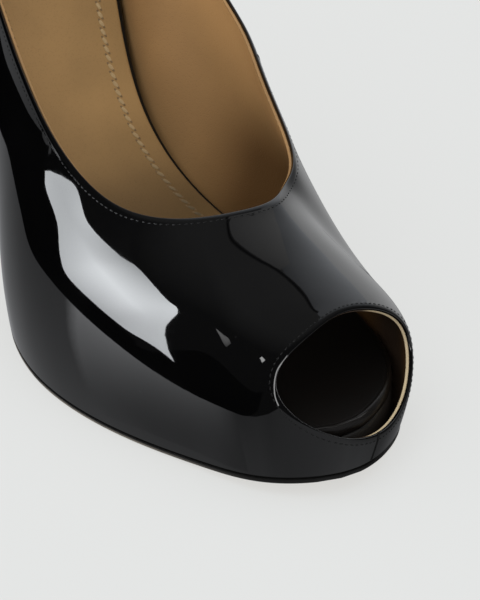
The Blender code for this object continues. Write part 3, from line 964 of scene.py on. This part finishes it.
def lining_finish():
    """Smooth tan lining leather with fine pores, with painted light near the collar and painted shade towards
    the front and deep in the toe.
    """
    finish = Finish("lining leather")
    colour = tuple(settings().colours.lining)
    tan, grain, height = tan_leather(finish, colour, 26, 900, 0.86, 1.1)
    # Painted light: paler near the collar.
    light = finish.mix(finish.mark("pale") * 0.8, tan, darker(colour, 1.85))
    # Painted shade: darker towards the front and the bottom, under the vamp.
    shown = finish.mix(finish.mark("painted_shade"), light, (colour[0] * 0.12, colour[1] * 0.07, 0.0))
    # Painted shade: dark deep in the toe.
    shown = finish.mix(finish.mark("deep"), shown, (0.045, 0.028, 0.018))
    return finish.done(
        Base_Color=finish.mix(finish.mark("cut_edge"), shown, (0.42, 0.335, 0.21)),
        Roughness=0.45 + grain * 0.12,
        Specular_IOR_Level=0.25,
        Normal=finish.bump(height, 0.00006),
    )


def insole_finish():
    """Tan sock leather behind a dull black front, on a black glossy edge; the black front is painted shade of
    the toe's inside, and the sock has painted shade towards the front and a painted sheen on a paler patch.
    """
    finish = Finish("insole leather")
    colour = tuple(settings().colours.sock)
    sock = finish.mark("sock")
    front = finish.mark("front")
    tan, grain, height = tan_leather(finish, colour, 22, 800, 0.84, 1.16)
    # Painted shade: the sock darkens towards the front.
    tan = finish.mix(finish.mark("painted_shade"), tan, darker(colour, 0.02))
    # Painted sheen: a paler patch on the sock.
    tan = finish.mix(finish.mark("wear_and_sheen"), tan, darker(colour, 1.5))
    return finish.done(
        # Black edge, and a black front that is painted shade of the toe's inside.
        Base_Color=finish.mix(sock, (0.0022, 0.0015, 0.0010), tan),
        Roughness=0.50 + sock * (grain * 0.12 - 0.02) + front * 0.26,
        Specular_IOR_Level=0.12,
        Coat_Weight=(1 - sock - front) * 0.3,
        Coat_Roughness=0.25,
        Normal=finish.bump(height * (sock * 0.9 + 0.1), 0.00006),
    )


def outsole_finish():
    """Tan tread leather with scuffs, inked black round its edge."""
    finish = Finish("outsole leather")
    colour = tuple(settings().colours.sole)
    ink = finish.mark("ink")
    fibre = finish.noise(500, 5, 0.7)
    scuff = finish.noise(70, 5, 0.7).steps(0.52, 0.70)
    wear = ink - finish.noise(240, 3).steps(0.70, 0.76) * 0.5
    wear_and_sheen = finish.mark("wear_and_sheen") * finish.noise(160, 3).steps(0.2, 0.5)
    edge = finish.mix(wear_and_sheen, (0.004, 0.0038, 0.0036), (0.200, 0.180, 0.155))
    leather_tone = finish.mix(scuff, colour, darker(colour, 0.6))
    return finish.done(
        Base_Color=finish.mix(wear, leather_tone, edge),
        Roughness=0.55 - ink * 0.15 + fibre * 0.15,
        Specular_IOR_Level=0.2,
        Normal=finish.bump(fibre, 0.00010),
    )


def cover_finish():
    """Black satin leather of the platform's cover."""
    finish = Finish("platform cover")
    grain = finish.noise(1200, 4)
    tone = finish.noise(40, 3)
    return finish.done(
        Base_Color=finish.mix(tone, (0.006, 0.0055, 0.005), (0.012, 0.011, 0.010)),
        Roughness=0.25 + grain * 0.15,
        Normal=finish.bump(grain, 0.00005),
    )


def rubber_finish():
    """Matt black rubber with a fine moulded grain."""
    finish = Finish("top piece rubber")
    colour = tuple(settings().colours.rubber)
    grain = finish.noise(1600, 4)
    dust = finish.noise(200, 4).steps(0.5, 0.8)
    return finish.done(
        Base_Color=finish.mix(dust, colour, darker(colour, 2.2)),
        Roughness=0.55 + grain * 0.2,
        Normal=finish.bump(grain, 0.0001),
    )


def thread_finish(name, colour, rough, painted_shade=0.0):
    """Twisted thread: bands of tone along the strand, and painted shade that darkens it towards the front,
    under the vamp.
    """
    finish = Finish(name)
    twist = finish.noise(2600, 2)
    along = finish.node("ShaderNodeSeparateXYZ", {}, {0: finish.place}, "X")
    tone = finish.mix(twist, darker(colour, 0.75), darker(colour, 1.2))
    return finish.done(
        # Painted shade: darker towards the front, under the vamp.
        Base_Color=finish.mix(along.steps(-0.032, 0.0) * painted_shade, tone, darker(colour, 0.05)),
        Roughness=rough + twist * 0.15,
        Specular_IOR_Level=0.22,
        Normal=finish.bump(twist, 0.00008),
    )


def hole_finish():
    """Shaded inside of a needle hole in the sock."""
    finish = Finish("needle hole")
    tone = finish.noise(1800, 2)
    colour = tuple(settings().colours.sock)
    return finish.done(
        Base_Color=finish.mix(tone, darker(colour, 0.42), darker(colour, 0.58)),
        Roughness=0.75 + tone * 0.1,
    )


def tree_with(name, inputs):
    """Node group for geometry, with named inputs of their kinds; returns it with its input node."""
    tree = bpy.data.node_groups.new(name, "GeometryNodeTree")
    for label, kind in {"Geometry": "Geometry", **inputs}.items():
        tree.interface.new_socket(label, in_out="INPUT", socket_type=f"NodeSocket{kind}")
    tree.interface.new_socket("Geometry", in_out="OUTPUT", socket_type="NodeSocketGeometry")
    return tree, tree.nodes.new("NodeGroupInput").outputs


def ended(tree, start, made):
    """Ends a node group: smooth real geometry in the material of its input."""
    smooth = add_node(tree, "GeometryNodeSetShadeSmooth", {}, {0: made.outputs[0]})
    real = add_node(tree, "GeometryNodeRealizeInstances", {}, {0: smooth.outputs[0]})
    paint = add_node(tree, "GeometryNodeSetMaterial", {},
                     {"Geometry": real.outputs[0], "Material": start["Material"]})
    add_node(tree, "NodeGroupOutput", {}, {0: paint.outputs[0]})
    return tree


def beads_tree():
    """Small rounded bars set on points, turned by the points' own directions."""
    tree, start = tree_with("beads", {"Length": "Float", "Width": "Float", "Height": "Float",
                                      "Material": "Material"})
    ball = add_node(tree, "GeometryNodeMeshUVSphere", {}, {"Segments": 8, "Rings": 6, "Radius": 0.5})
    size = add_node(tree, "ShaderNodeCombineXYZ", {},
                    {"X": start["Length"], "Y": start["Width"], "Z": start["Height"]})
    form = add_node(tree, "GeometryNodeTransform", {},
                    {"Geometry": ball.outputs["Mesh"], "Scale": size.outputs[0]})
    turned = {}
    for label, axis, pivot in (("along", "X", "AUTO"), ("out", "Z", "X")):
        read = add_node(tree, "GeometryNodeInputNamedAttribute", {"data_type": "FLOAT_VECTOR"},
                        {"Name": label})
        turn = add_node(tree, "FunctionNodeAlignRotationToVector", {"axis": axis, "pivot_axis": pivot},
                        {"Vector": read.outputs[0], **turned})
        turned = {"Rotation": turn.outputs[0]}
    spread = add_node(tree, "GeometryNodeInstanceOnPoints", {},
                      {"Points": start["Geometry"], "Instance": form.outputs[0], **turned})
    return ended(tree, start, spread)


def cord_tree():
    """Round cord along a line of points."""
    tree, start = tree_with("cord", {"Radius": "Float", "Material": "Material"})
    line = add_node(tree, "GeometryNodeMeshToCurve", {}, {"Mesh": start["Geometry"]})
    profile = add_node(tree, "GeometryNodeCurvePrimitiveCircle", {},
                       {"Resolution": 10, "Radius": start["Radius"]})
    body = add_node(tree, "GeometryNodeCurveToMesh", {},
                    {"Curve": line.outputs[0], "Profile Curve": profile.outputs[0], "Fill Caps": True})
    return ended(tree, start, body)


def grown(name, tree, points, inputs, directions=None, lines=()):
    """Plain mesh piece that a node group makes from points or from lines of points."""
    mesh = bpy.data.meshes.new(name)
    mesh.from_pydata((np.asarray(points) + SHIFT).tolist(), lines, [])
    for label, vectors in (directions or {}).items():
        store(mesh, label, vectors)
    piece = add_object(name, mesh)
    modifier = piece.modifiers.new(name, "NODES")
    modifier.node_group = tree
    for socket in tree.interface.items_tree:
        if socket.in_out == "INPUT" and socket.name in inputs:
            modifier[socket.identifier] = inputs[socket.name]
    view = bpy.context.evaluated_depsgraph_get()
    made = bpy.data.meshes.new_from_object(piece.evaluated_get(view))
    piece.modifiers.clear()
    piece.data = made
    made.name = name
    return piece


def even_steps(points, pitch):
    """Places along a dense closed or open line, as fractional indices, at an even pitch."""
    run = np.append(0, np.cumsum(np.linalg.norm(np.diff(points, axis=0), axis=1)))
    count = max(int(round(run[-1] / pitch)), 2)
    return np.interp((np.arange(count) + 0.5) / count * run[-1], run, np.arange(len(points)))


def collar_row(inset):
    """Dense place and height values of a line at a distance below the collar."""
    place = np.linspace(0, GIRTH, ROW_STEPS)
    return place, 1 - inset / collar_rate(place)


def peep_row(inset):
    """Dense place and height values of a closed line at a distance round the peep toe."""
    turn = np.linspace(0, 2 * np.pi, 721)
    lift = np.cos(turn)
    height = (PEEP_HIGH + PEEP_LOW) / 2 + (PEEP_HIGH - PEEP_LOW) / 2 * lift
    angle = PEEP_TURN + PEEP_SLANT * lift + PEEP_HALF_ANGLE * (1 + PEEP_FLARE * lift) * np.sin(turn)
    angle = np.radians(angle)
    grid_place = np.linspace(-0.09, 0.09, 61)
    grid_up = np.linspace(0.01, 0.95, 60)
    all_place = np.repeat(grid_place, 60)
    all_up = np.tile(grid_up, 61)
    known = bearings(skin(all_place, all_up))
    wanted = np.column_stack([angle, height])
    weight = np.array((0.05, 1.0))
    nearest = [(((known - goal) * weight)**2).sum(axis=1).argmin() for goal in wanted]
    place, up = all_place[nearest], all_up[nearest]
    for _ in range(8):
        here = bearings(skin(place, up))
        by_place = (bearings(skin(place + 1e-5, up)) - here) / 1e-5
        by_up = (bearings(skin(place, up + 1e-4)) - here) / 1e-4
        miss = wanted - here
        size = by_place[:, 0] * by_up[:, 1] - by_place[:, 1] * by_up[:, 0]
        place = place + (miss[:, 0] * by_up[:, 1] - miss[:, 1] * by_up[:, 0]) / size
        up = up + (by_place[:, 0] * miss[:, 1] - by_place[:, 1] * miss[:, 0]) / size
    return settle(place, up, lambda place, up: peep_distance(place, up) - inset)


def bearings(points):
    """Angle round the peep toe's drum and height of the points."""
    angle = np.arctan2(points[:, 1] - PEEP_CENTRE[1], points[:, 0] - PEEP_CENTRE[0])
    return np.column_stack([angle, points[:, 2]])


def stitch_row(place, up, pitch):
    """Centres and directions of stitches on the leather at an even pitch along a line."""
    line = leather(place, up)
    at = even_steps(line, pitch)
    number = np.arange(len(place))
    stitch_place, stitch_up = np.interp(at, number, place), np.interp(at, number, up)
    points = leather(stitch_place, stitch_up)
    out = outward(leather, stitch_place, stitch_up)
    ahead = np.column_stack([np.interp(at + 0.5, number, line[:, i]) - np.interp(at - 0.5, number, line[:, i])
                             for i in range(3)])
    return points, unit(ahead), out


class PUMP_OT_upper(Operator):
    """Builds the lasted patent shell with its folded edges"""
    bl_idname = "pump.upper"
    bl_label = "Upper"

    def execute(self, context):
        edges = settings().edges
        half = edges.leather / 2
        sheet = Sheet(COLUMNS_SHELL, ROWS_SHELL, half, half)
        points, faces, normals = lined_wall(sheet, leather, 0.0, edges.leather)
        shell = piece_from("upper_shell", points, faces, patent_finish("patent leather"), normals)
        belongs(shell, "upper")
        return {"FINISHED"}


class PUMP_OT_lining(Operator):
    """Builds the tan lining inside the upper"""
    bl_idname = "pump.lining"
    bl_label = "Lining"

    def execute(self, context):
        edges = settings().edges
        sheet = Sheet(COLUMNS_LINING, ROWS_LINING, edges.lining_drop, edges.lining_drop)
        points, faces, normals = lined_wall(sheet, skin, edges.leather + LINING_GAP, WALL)
        x, z = points[:, 0], points[:, 2]
        count, rim = len(sheet.place), (RIM_STEPS - 1) * len(sheet.peep)
        # Painted shade: the lining darkens away from the peep toe's edge, and the mark deep keeps this to the
        # toe.
        inside = np.zeros(len(points))
        inside[:2 * count] = np.tile(ease((peep_distance(sheet.place, sheet.up) - 0.0025) / 0.008), 2)
        # Painted light: the lining is paler near the collar, where light falls in.
        pale = np.zeros(len(points))
        pale[:2 * count] = np.tile(1 - ease((1 - sheet.up) * collar_rate(sheet.place) / 0.030), 2)
        cut_edge = np.zeros(len(points))
        start = 0.009 + 0.011 * ease((z - 0.018) / 0.015)
        cut_edge[-rim:] = ease((points[:, 1] - start) / 0.004)[-rim:]
        inside[-rim:] = 1 - cut_edge[-rim:]
        # Painted shade: the lining darkens towards the front and the bottom, under the vamp.
        painted_shade = 0.78 * ease((x + 0.025) / 0.028) * ease((0.055 - z) / 0.020)
        marks = {"deep": inside * ease((x - 0.058) / 0.014), "painted_shade": painted_shade, "pale": pale, "cut_edge": cut_edge}
        lining = piece_from("upper_lining", points, faces, lining_finish(), normals, marks=marks)
        belongs(lining, "upper", replaces=False)
        return {"FINISHED"}


class PUMP_OT_soles(Operator):
    """Builds the outsole, the platform and the insole"""
    bl_idname = "pump.soles"
    bl_label = "Soles"

    def execute(self, context):
        inside = WALL + GAP
        points, faces, marks = plate(sole_under, sole_top, 0.0, OUTSOLE_EDGE, BREAST)
        level = (points[:, 2] - sole_under(points[:, 0])) / OUTSOLE
        # Wear: the ink is rubbed off the lower part of the outsole's edge, towards the toe.
        wear_and_sheen = marks * (level < 0.55) * ease((0.110 - points[:, 0]) / 0.05)
        marks = {"ink": marks, "wear_and_sheen": wear_and_sheen}
        outsole = piece_from("outsole_leather", points, faces, outsole_finish(), sharp=40, marks=marks)
        belongs(outsole, "outsole")
        points, faces, _ = plate(lambda x: sole_top(x) + GAP, lambda x: insole_under(x) - GAP,
                                 inside, PLATFORM_EDGE, platform_end(), TOE_TUCK)
        cover = piece_from("platform_cover", points, faces, cover_finish(), sharp=50)
        belongs(cover, "platform")
        points, faces, marks = plate(insole_under, insole_top, inside, INSOLE_EDGE, tuck=TOE_TUCK)
        # Painted shade: in front of SOCK_FRONT the insole is black and dull, for the shade inside the toe;
        # behind it lies the tan sock.
        behind = points[:, 0] < SOCK_FRONT
        # Painted shade: the sock darkens towards the front, under the vamp.
        painted_shade = 0.6 * ease((points[:, 0] + 0.032) / 0.028)
        # Painted sheen: a paler patch on the sock.
        from_patch = np.hypot((points[:, 0] + 0.038) / 0.014, (points[:, 1] - 0.011) / 0.007)
        wear_and_sheen = 0.6 * ease(1 - from_patch)
        marks = {"sock": marks * behind, "front": marks * ~behind, "painted_shade": painted_shade, "wear_and_sheen": wear_and_sheen}
        insole = piece_from("insole_sock", points, faces, insole_finish(), sharp=50, marks=marks)
        belongs(insole, "insole")
        return {"FINISHED"}


class PUMP_OT_heel(Operator):
    """Builds the covered heel and its rubber top piece"""
    bl_idname = "pump.heel"
    bl_label = "Heel"

    def execute(self, context):
        seat, tip = heel_rings()
        bottom = TOP_PIECE + GAP
        rings = []
        for level in np.linspace(0, 1, HEEL_LEVELS)**HEEL_CROWD:
            drawn = 1 - (1 - level)**HEEL_TAPER
            ring = seat * (1 - drawn) + tip * drawn
            ring[:, 2] = seat[:, 2] * (1 - level) + bottom * level
            rings.append(rounded(ring))
        points, faces = loft(rings)
        heel = piece_from("heel_cover", points, faces, patent_finish("heel patent"), sharp=50)
        belongs(heel, "heel")
        middle = tip.mean(axis=0)
        rings = []
        for height, scale in ((0.0, 0.94), (0.0003, 0.985), (0.0007, 1.0), (0.0054, 1.0),
                              (0.0058, 0.985), (0.0060, 0.95)):
            ring = middle + (tip - middle) * scale
            ring[:, 2] = height
            rings.append(rounded(ring))
        points, faces = loft(rings)
        lift = piece_from("top_piece_rubber", points, faces, rubber_finish(), sharp=50)
        belongs(lift, "top_piece")
        return {"FINISHED"}


class PUMP_OT_edge_stitches(Operator):
    """Sews the rows along the collar and round the peep toe"""
    bl_idname = "pump.edge_stitches"
    bl_label = "Edge Stitches"

    def execute(self, context):
        thread = settings().thread
        tree = beads_tree()
        material = thread_finish("black thread", THREAD_BLACK, 0.50)
        dice = np.random.default_rng(5)
        rows = {"collar_stitches": collar_row(thread.from_edge), "peep_stitches": peep_row(thread.from_peep)}
        for name, (place, up) in rows.items():
            points, ahead, out = stitch_row(place, up, thread.pitch)
            points = points - out * thread.sunk
            ahead = unit(ahead + dice.normal(0, 0.10, ahead.shape))
            out = unit(out + dice.normal(0, 0.30, out.shape))
            inputs = {"Length": thread.pitch * 0.80, "Width": thread.thread * 1.1, "Height": thread.thread,
                      "Material": material}
            stitches = grown(name, tree, points, inputs, {"along": ahead, "out": out})
            belongs(stitches, "upper", replaces=False)
        return {"FINISHED"}


class PUMP_OT_sock_stitches(Operator):
    """Sews the slanted row round the sock, with its needle holes"""
    bl_idname = "pump.sock_stitches"
    bl_label = "Sock Stitches"

    def execute(self, context):
        thread, colours = settings().thread, settings().colours
        place = np.linspace(0, GIRTH, ROW_STEPS)
        plan = foot_edge(place, WALL + GAP + thread.sock_inset)
        top = INSOLE * (INSOLE_EDGE[-1][1] - 1)
        line = np.column_stack([plan, insole_top(plan[:, 0]) + top])
        line = line[line[:, 0] < SOCK_FRONT - 0.003]
        at = even_steps(line, thread.sock_pitch)
        number = np.arange(len(line))
        points = np.column_stack([np.interp(at, number, line[:, i]) for i in range(3)])
        nearby = np.column_stack([np.interp(at + 0.5, number, line[:, i]) for i in range(3)])
        ahead = unit(nearby - points)
        slope = (insole_top(points[:, 0] + 1e-4) - insole_top(points[:, 0] - 1e-4)) / 2e-4
        out = unit(np.column_stack([-slope, np.zeros(len(slope)), np.ones(len(slope))]))
        side = np.cross(out, ahead)
        slant = unit(ahead + 0.45 * side)
        tree = beads_tree()
        # The last value is the share of painted shade towards the front.
        bar = thread_finish("sock thread", tuple(colours.sock_thread), 0.5, 0.72)
        inputs = {"Length": thread.sock_pitch * 0.92, "Width": thread.sock_thread * 1.3,
                  "Height": thread.sock_thread * 0.5, "Material": bar}
        bars = grown("sock_stitches", tree, points, inputs, {"along": slant, "out": out})
        belongs(bars, "insole", replaces=False)
        reach = thread.sock_pitch * 0.46
        holes = np.vstack([points + slant * reach, points - slant * reach])
        inputs = {"Length": 0.0010, "Width": 0.0007, "Height": 0.0002, "Material": hole_finish()}
        pits = grown("sock_needle_holes", tree, holes, inputs,
                     {"along": np.vstack([slant, slant]), "out": np.vstack([out, out])})
        belongs(pits, "insole", replaces=False)
        return {"FINISHED"}


class PUMP_OT_seams(Operator):
    """Closes the seams at the inner side and below the peep toe"""
    bl_idname = "pump.seams"
    bl_label = "Seams"

    def execute(self, context):
        tree = cord_tree()
        edge = patent_finish("seam edge")
        shade = thread_finish("seam thread", SEAM_BLACK, 0.7)
        side_up = np.linspace(0.0, 0.995, 120)
        side_place = GIRTH * (0.790 - 0.025 * (1 - side_up))
        toe_up = np.linspace(0.0, 0.075, 40)
        toe_place = np.linspace(0.984, 0.979, 40) * GIRTH
        for name, place, up, radius, material in (("side_seam", side_place, side_up, 0.00032, edge),
                                                  ("toe_seam", toe_place, toe_up, 0.00040, shade)):
            points = leather(place, up) - outward(leather, place, up) * radius * SEAM_SUNK
            lines = [(i, i + 1) for i in range(len(points) - 1)]
            cord = grown(name, tree, points, {"Radius": radius, "Material": material}, lines=lines)
            belongs(cord, "upper", replaces=False)
        return {"FINISHED"}


def gloss_only(name, points, faces, glow, tint):
    """Sheet that shows only in the gloss, with a brightness at each point."""
    mesh = bpy.data.meshes.new(name)
    mesh.from_pydata(np.asarray(points).tolist(), [], faces)
    store(mesh, "glow", glow)
    material = bpy.data.materials.new(name)
    material.use_nodes = True
    tree = material.node_tree
    tree.nodes.clear()
    read = add_node(tree, "ShaderNodeAttribute", {"attribute_name": "glow"}, {})
    light = add_node(tree, "ShaderNodeEmission", {}, {"Color": tint, "Strength": read.outputs["Fac"]})
    add_node(tree, "ShaderNodeOutputMaterial", {}, {"Surface": light.outputs[0]})
    mesh.materials.append(material)
    sheet = add_object(name, mesh)
    sheet.visible_camera = False
    sheet.visible_diffuse = False
    sheet.visible_shadow = False


def grid_faces(columns, levels):
    """Quads of a sheet whose points run level by level up each column."""
    faces = []
    for i in range(columns - 1):
        for k in range(levels - 1):
            a = i * levels + k
            faces.append((a, a + 1, a + levels + 1, a + levels))
    return faces


def bearing(turn, rise):
    """Unit direction at a turn round the shoe and a rise above the floor, in degrees."""
    turn, rise = np.radians(turn), np.radians(rise)
    return np.stack([np.cos(rise) * np.cos(turn), np.cos(rise) * np.sin(turn), np.sin(rise)], axis=-1)


def card(name, columns, strength=1.0, reach=CARD_REACH, tint=WHITE, bend=1.0):
    """Reflector card, its columns given by direction from the shoe."""
    share = np.linspace(0, 1, CARD_LEVELS)
    points, glow = [], []
    for turn, low, high, dim, bright in columns:
        points.append(bearing(turn, low + (high - low) * share))
        glow.append((dim + (bright - dim) * share**bend) * strength)
    faces = grid_faces(len(columns), CARD_LEVELS)
    gloss_only(name, np.vstack(points) * reach + CARD_CENTRE, faces, np.concatenate(glow), tint)


def smoothed(rows, steps=6):
    """The rows of a table with even smooth rows between them."""
    rows = np.array(rows, dtype=float)
    slope = np.gradient(rows, axis=0)
    t = np.linspace(0, 1, steps, endpoint=False)[:, None]
    made = []
    for i in range(len(rows) - 1):
        made.append(rows[i] * (1 + 2 * t) * (1 - t)**2 + slope[i] * t * (1 - t)**2
                    + rows[i + 1] * t**2 * (3 - 2 * t) + slope[i + 1] * t**2 * (t - 1))
    return np.vstack(made + [rows[-1:]])


def near_card(name, columns, camera, strength=1.0, tint=WHITE, reach=NEAR_REACH):
    """Card close to the shoe, set where the shoe's gloss mirrors the camera's lines of sight."""
    mesh = bpy.data.objects["upper_shell"].data
    places = [point.co for point in mesh.vertices]
    normals = np.array([point.normal for point in mesh.vertices])
    tree = BVHTree.FromPolygons(places, [face.vertices for face in mesh.polygons])
    eye = np.array(camera.matrix_world.translation)
    turn = np.array(camera.matrix_world.to_3x3())
    step = camera.data.sensor_width / FRAME_HEIGHT
    share = np.linspace(0, 1, NEAR_LEVELS)
    columns = smoothed(columns)
    points, glow = [], []
    for first_x, first_y, last_x, last_y, *ends in columns:
        for k in share:
            x, y = first_x + (last_x - first_x) * k, first_y + (last_y - first_y) * k
            across, down = x - FRAME_WIDTH / 2, y - FRAME_HEIGHT / 2
            sight = unit(turn @ (across * step, -down * step, -camera.data.lens))
            place, _, face, _ = tree.ray_cast(eye.tolist(), sight.tolist())
            if face is None:
                raise RuntimeError(f"{name}: no leather at {x:.1f}, {y:.1f}")
            corners = list(mesh.polygons[face].vertices)
            weights = poly_3d_calc([places[i] for i in corners], place)
            out = unit(np.array(weights) @ normals[corners])
            points.append(np.array(place) + (sight - 2 * (sight @ out) * out) * reach)
        glow.append(np.interp(share, (0, 0.5, 1), ends) * strength)
    gloss_only(name, points, grid_faces(len(columns), NEAR_LEVELS), np.concatenate(glow), tint)


def floor():
    """Wide level floor, left out of the gloss, where the floor card stands for it."""
    turn = np.linspace(0, 2 * np.pi, FLOOR_STEPS, endpoint=False)
    points = np.column_stack([np.cos(turn), np.sin(turn), np.zeros(FLOOR_STEPS)]) * FLOOR_RADIUS
    mesh = bpy.data.meshes.new("floor")
    mesh.from_pydata(points.tolist(), [], [tuple(range(FLOOR_STEPS))])
    mesh.materials.append(floor_finish())
    part = add_object("floor", mesh)
    part.visible_glossy = False


def floor_finish():
    """Matt pale floor, lit so evenly that only the close shadow under the shoe shows."""
    finish = Finish("studio floor")
    stage = settings().stage
    tone = tuple(stage.floor)
    cool = tuple(value * share * stage.shade for value, share in zip(tone, (0.92, 1.0, 1.08)))
    cloud = finish.noise(3.0, 2)
    return finish.done(
        Base_Color=finish.mix(cloud * 0.3, cool, darker(cool, 0.95)),
        Roughness=0.9 + cloud * 0.05,
        Specular_IOR_Level=0.0,
        Emission_Color=tone,
        Emission_Strength=1 - stage.shade,
    )


class PUMP_OT_studio(Operator):
    """Sets the pale floor, the soft light, the reflector cards and the camera"""
    bl_idname = "pump.studio"
    bl_label = "Studio"

    def execute(self, context):
        stage = settings().stage
        scene = context.scene
        floor()
        self.sky(scene, stage.ambient)
        self.camera(scene)
        near_card("key_card", KEY_IMAGE, scene.camera, stage.key, (0.955, 0.99, 1.02), KEY_REACH)
        for name, columns in NEAR_IMAGES.items():
            near_card(name, columns, scene.camera)
        card("inner_low", INNER_LOW, stage.inner, tint=(0.99, 1.0, 1.01))
        card("inner_high", INNER_HIGH, stage.inner, tint=(0.96, 1.0, 1.06))
        card("floor_light", FLOOR_LIGHT, tint=FLOOR_TINT, bend=FLOOR_BEND)
        card("floor_card", FLOOR_CARD, reach=CARD_REACH * 1.05, tint=FLOOR_TINT)
        card("dark_card", DARK_CARD, reach=CARD_REACH * 1.1)
        scene.view_settings.view_transform = "Standard"
        return {"FINISHED"}

    def sky(self, scene, strength):
        """Even pale light all round, and a dim high ceiling in the reflections."""
        world = bpy.data.worlds.new("studio")
        world.use_nodes = True
        tree = world.node_tree
        tree.nodes.clear()
        aim = add_node(tree, "ShaderNodeTexCoord", {}, {})
        path = add_node(tree, "ShaderNodeLightPath", {}, {})
        sockets = {0: path.outputs["Is Glossy Ray"]}
        even = ((0.20, -0.35, 0.91), -0.1, 1.0, 0.2 * strength, 2.4 * strength, (1.0, 1.0, 0.99))
        ceiling = ((-0.5, 0.3, 0.8), 0.6, 0.85, 0.05, 0.2, (0.8, 0.8, 0.8))
        for number, (direction, low, high, dark, bright, colour) in enumerate((even, ceiling), 1):
            facing = add_node(tree, "ShaderNodeVectorMath", {"operation": "DOT_PRODUCT"},
                              {0: aim.outputs["Generated"], 1: direction})
            fade = add_node(tree, "ShaderNodeMapRange", {},
                            {"Value": facing.outputs["Value"], "From Min": low, "From Max": high,
                             "To Min": dark, "To Max": bright})
            light = add_node(tree, "ShaderNodeBackground", {}, {"Color": colour, "Strength": fade.outputs[0]})
            sockets[number] = light.outputs[0]
        both = add_node(tree, "ShaderNodeMixShader", {}, sockets)
        add_node(tree, "ShaderNodeOutputWorld", {}, {"Surface": both.outputs[0]})
        scene.world = world

    def camera(self, scene):
        """Long lens from the front and the outer side, a little above the shoe."""
        back = bearing(CAMERA_TURN, CAMERA_RISE)
        right = unit(np.cross((0.0, 0.0, 1.0), back))
        up = np.cross(back, right)
        eye = np.array(CAMERA_AIM) + back * CAMERA_DISTANCE
        lens = bpy.data.cameras.new("camera")
        lens.lens = CAMERA_LENS
        lens.sensor_width = SENSOR
        lens.clip_start = 0.05
        body = add_object("camera", lens)
        rows = [[right[i], up[i], back[i], eye[i]] for i in range(3)]
        body.matrix_world = Matrix(rows + [[0.0, 0.0, 0.0, 1.0]])
        scene.camera = body


class PUMP_PT_sidebar(Panel):
    """Sizes, colours and building steps of the pump"""
    bl_idname = "PUMP_PT_sidebar"
    bl_label = "Peep Toe Pump"
    bl_space_type = "VIEW_3D"
    bl_region_type = "UI"
    bl_category = "Pump"

    def draw(self, context):
        pump = context.scene.pump
        for group in (pump.edges, pump.thread, pump.colours, pump.stage):
            box = self.layout.box()
            for name in group.__annotations__:
                box.prop(group, name)
        for step in STEPS:
            self.layout.operator(step.bl_idname)


STEPS = (PUMP_OT_upper, PUMP_OT_lining, PUMP_OT_soles, PUMP_OT_heel, PUMP_OT_edge_stitches,
         PUMP_OT_sock_stitches, PUMP_OT_seams, PUMP_OT_studio)
CLASSES = (PumpEdges, PumpThread, PumpColours, PumpStage, PumpSettings, *STEPS, PUMP_PT_sidebar)


def register():
    for item in CLASSES:
        bpy.utils.register_class(item)
    bpy.types.Scene.pump = PointerProperty(type=PumpSettings)


def unregister():
    del bpy.types.Scene.pump
    for item in reversed(CLASSES):
        bpy.utils.unregister_class(item)


def main():
    register()
    for step in STEPS:
        group, name = step.bl_idname.split(".")
        getattr(getattr(bpy.ops, group), name)()


if __name__ == "__main__":
    main()
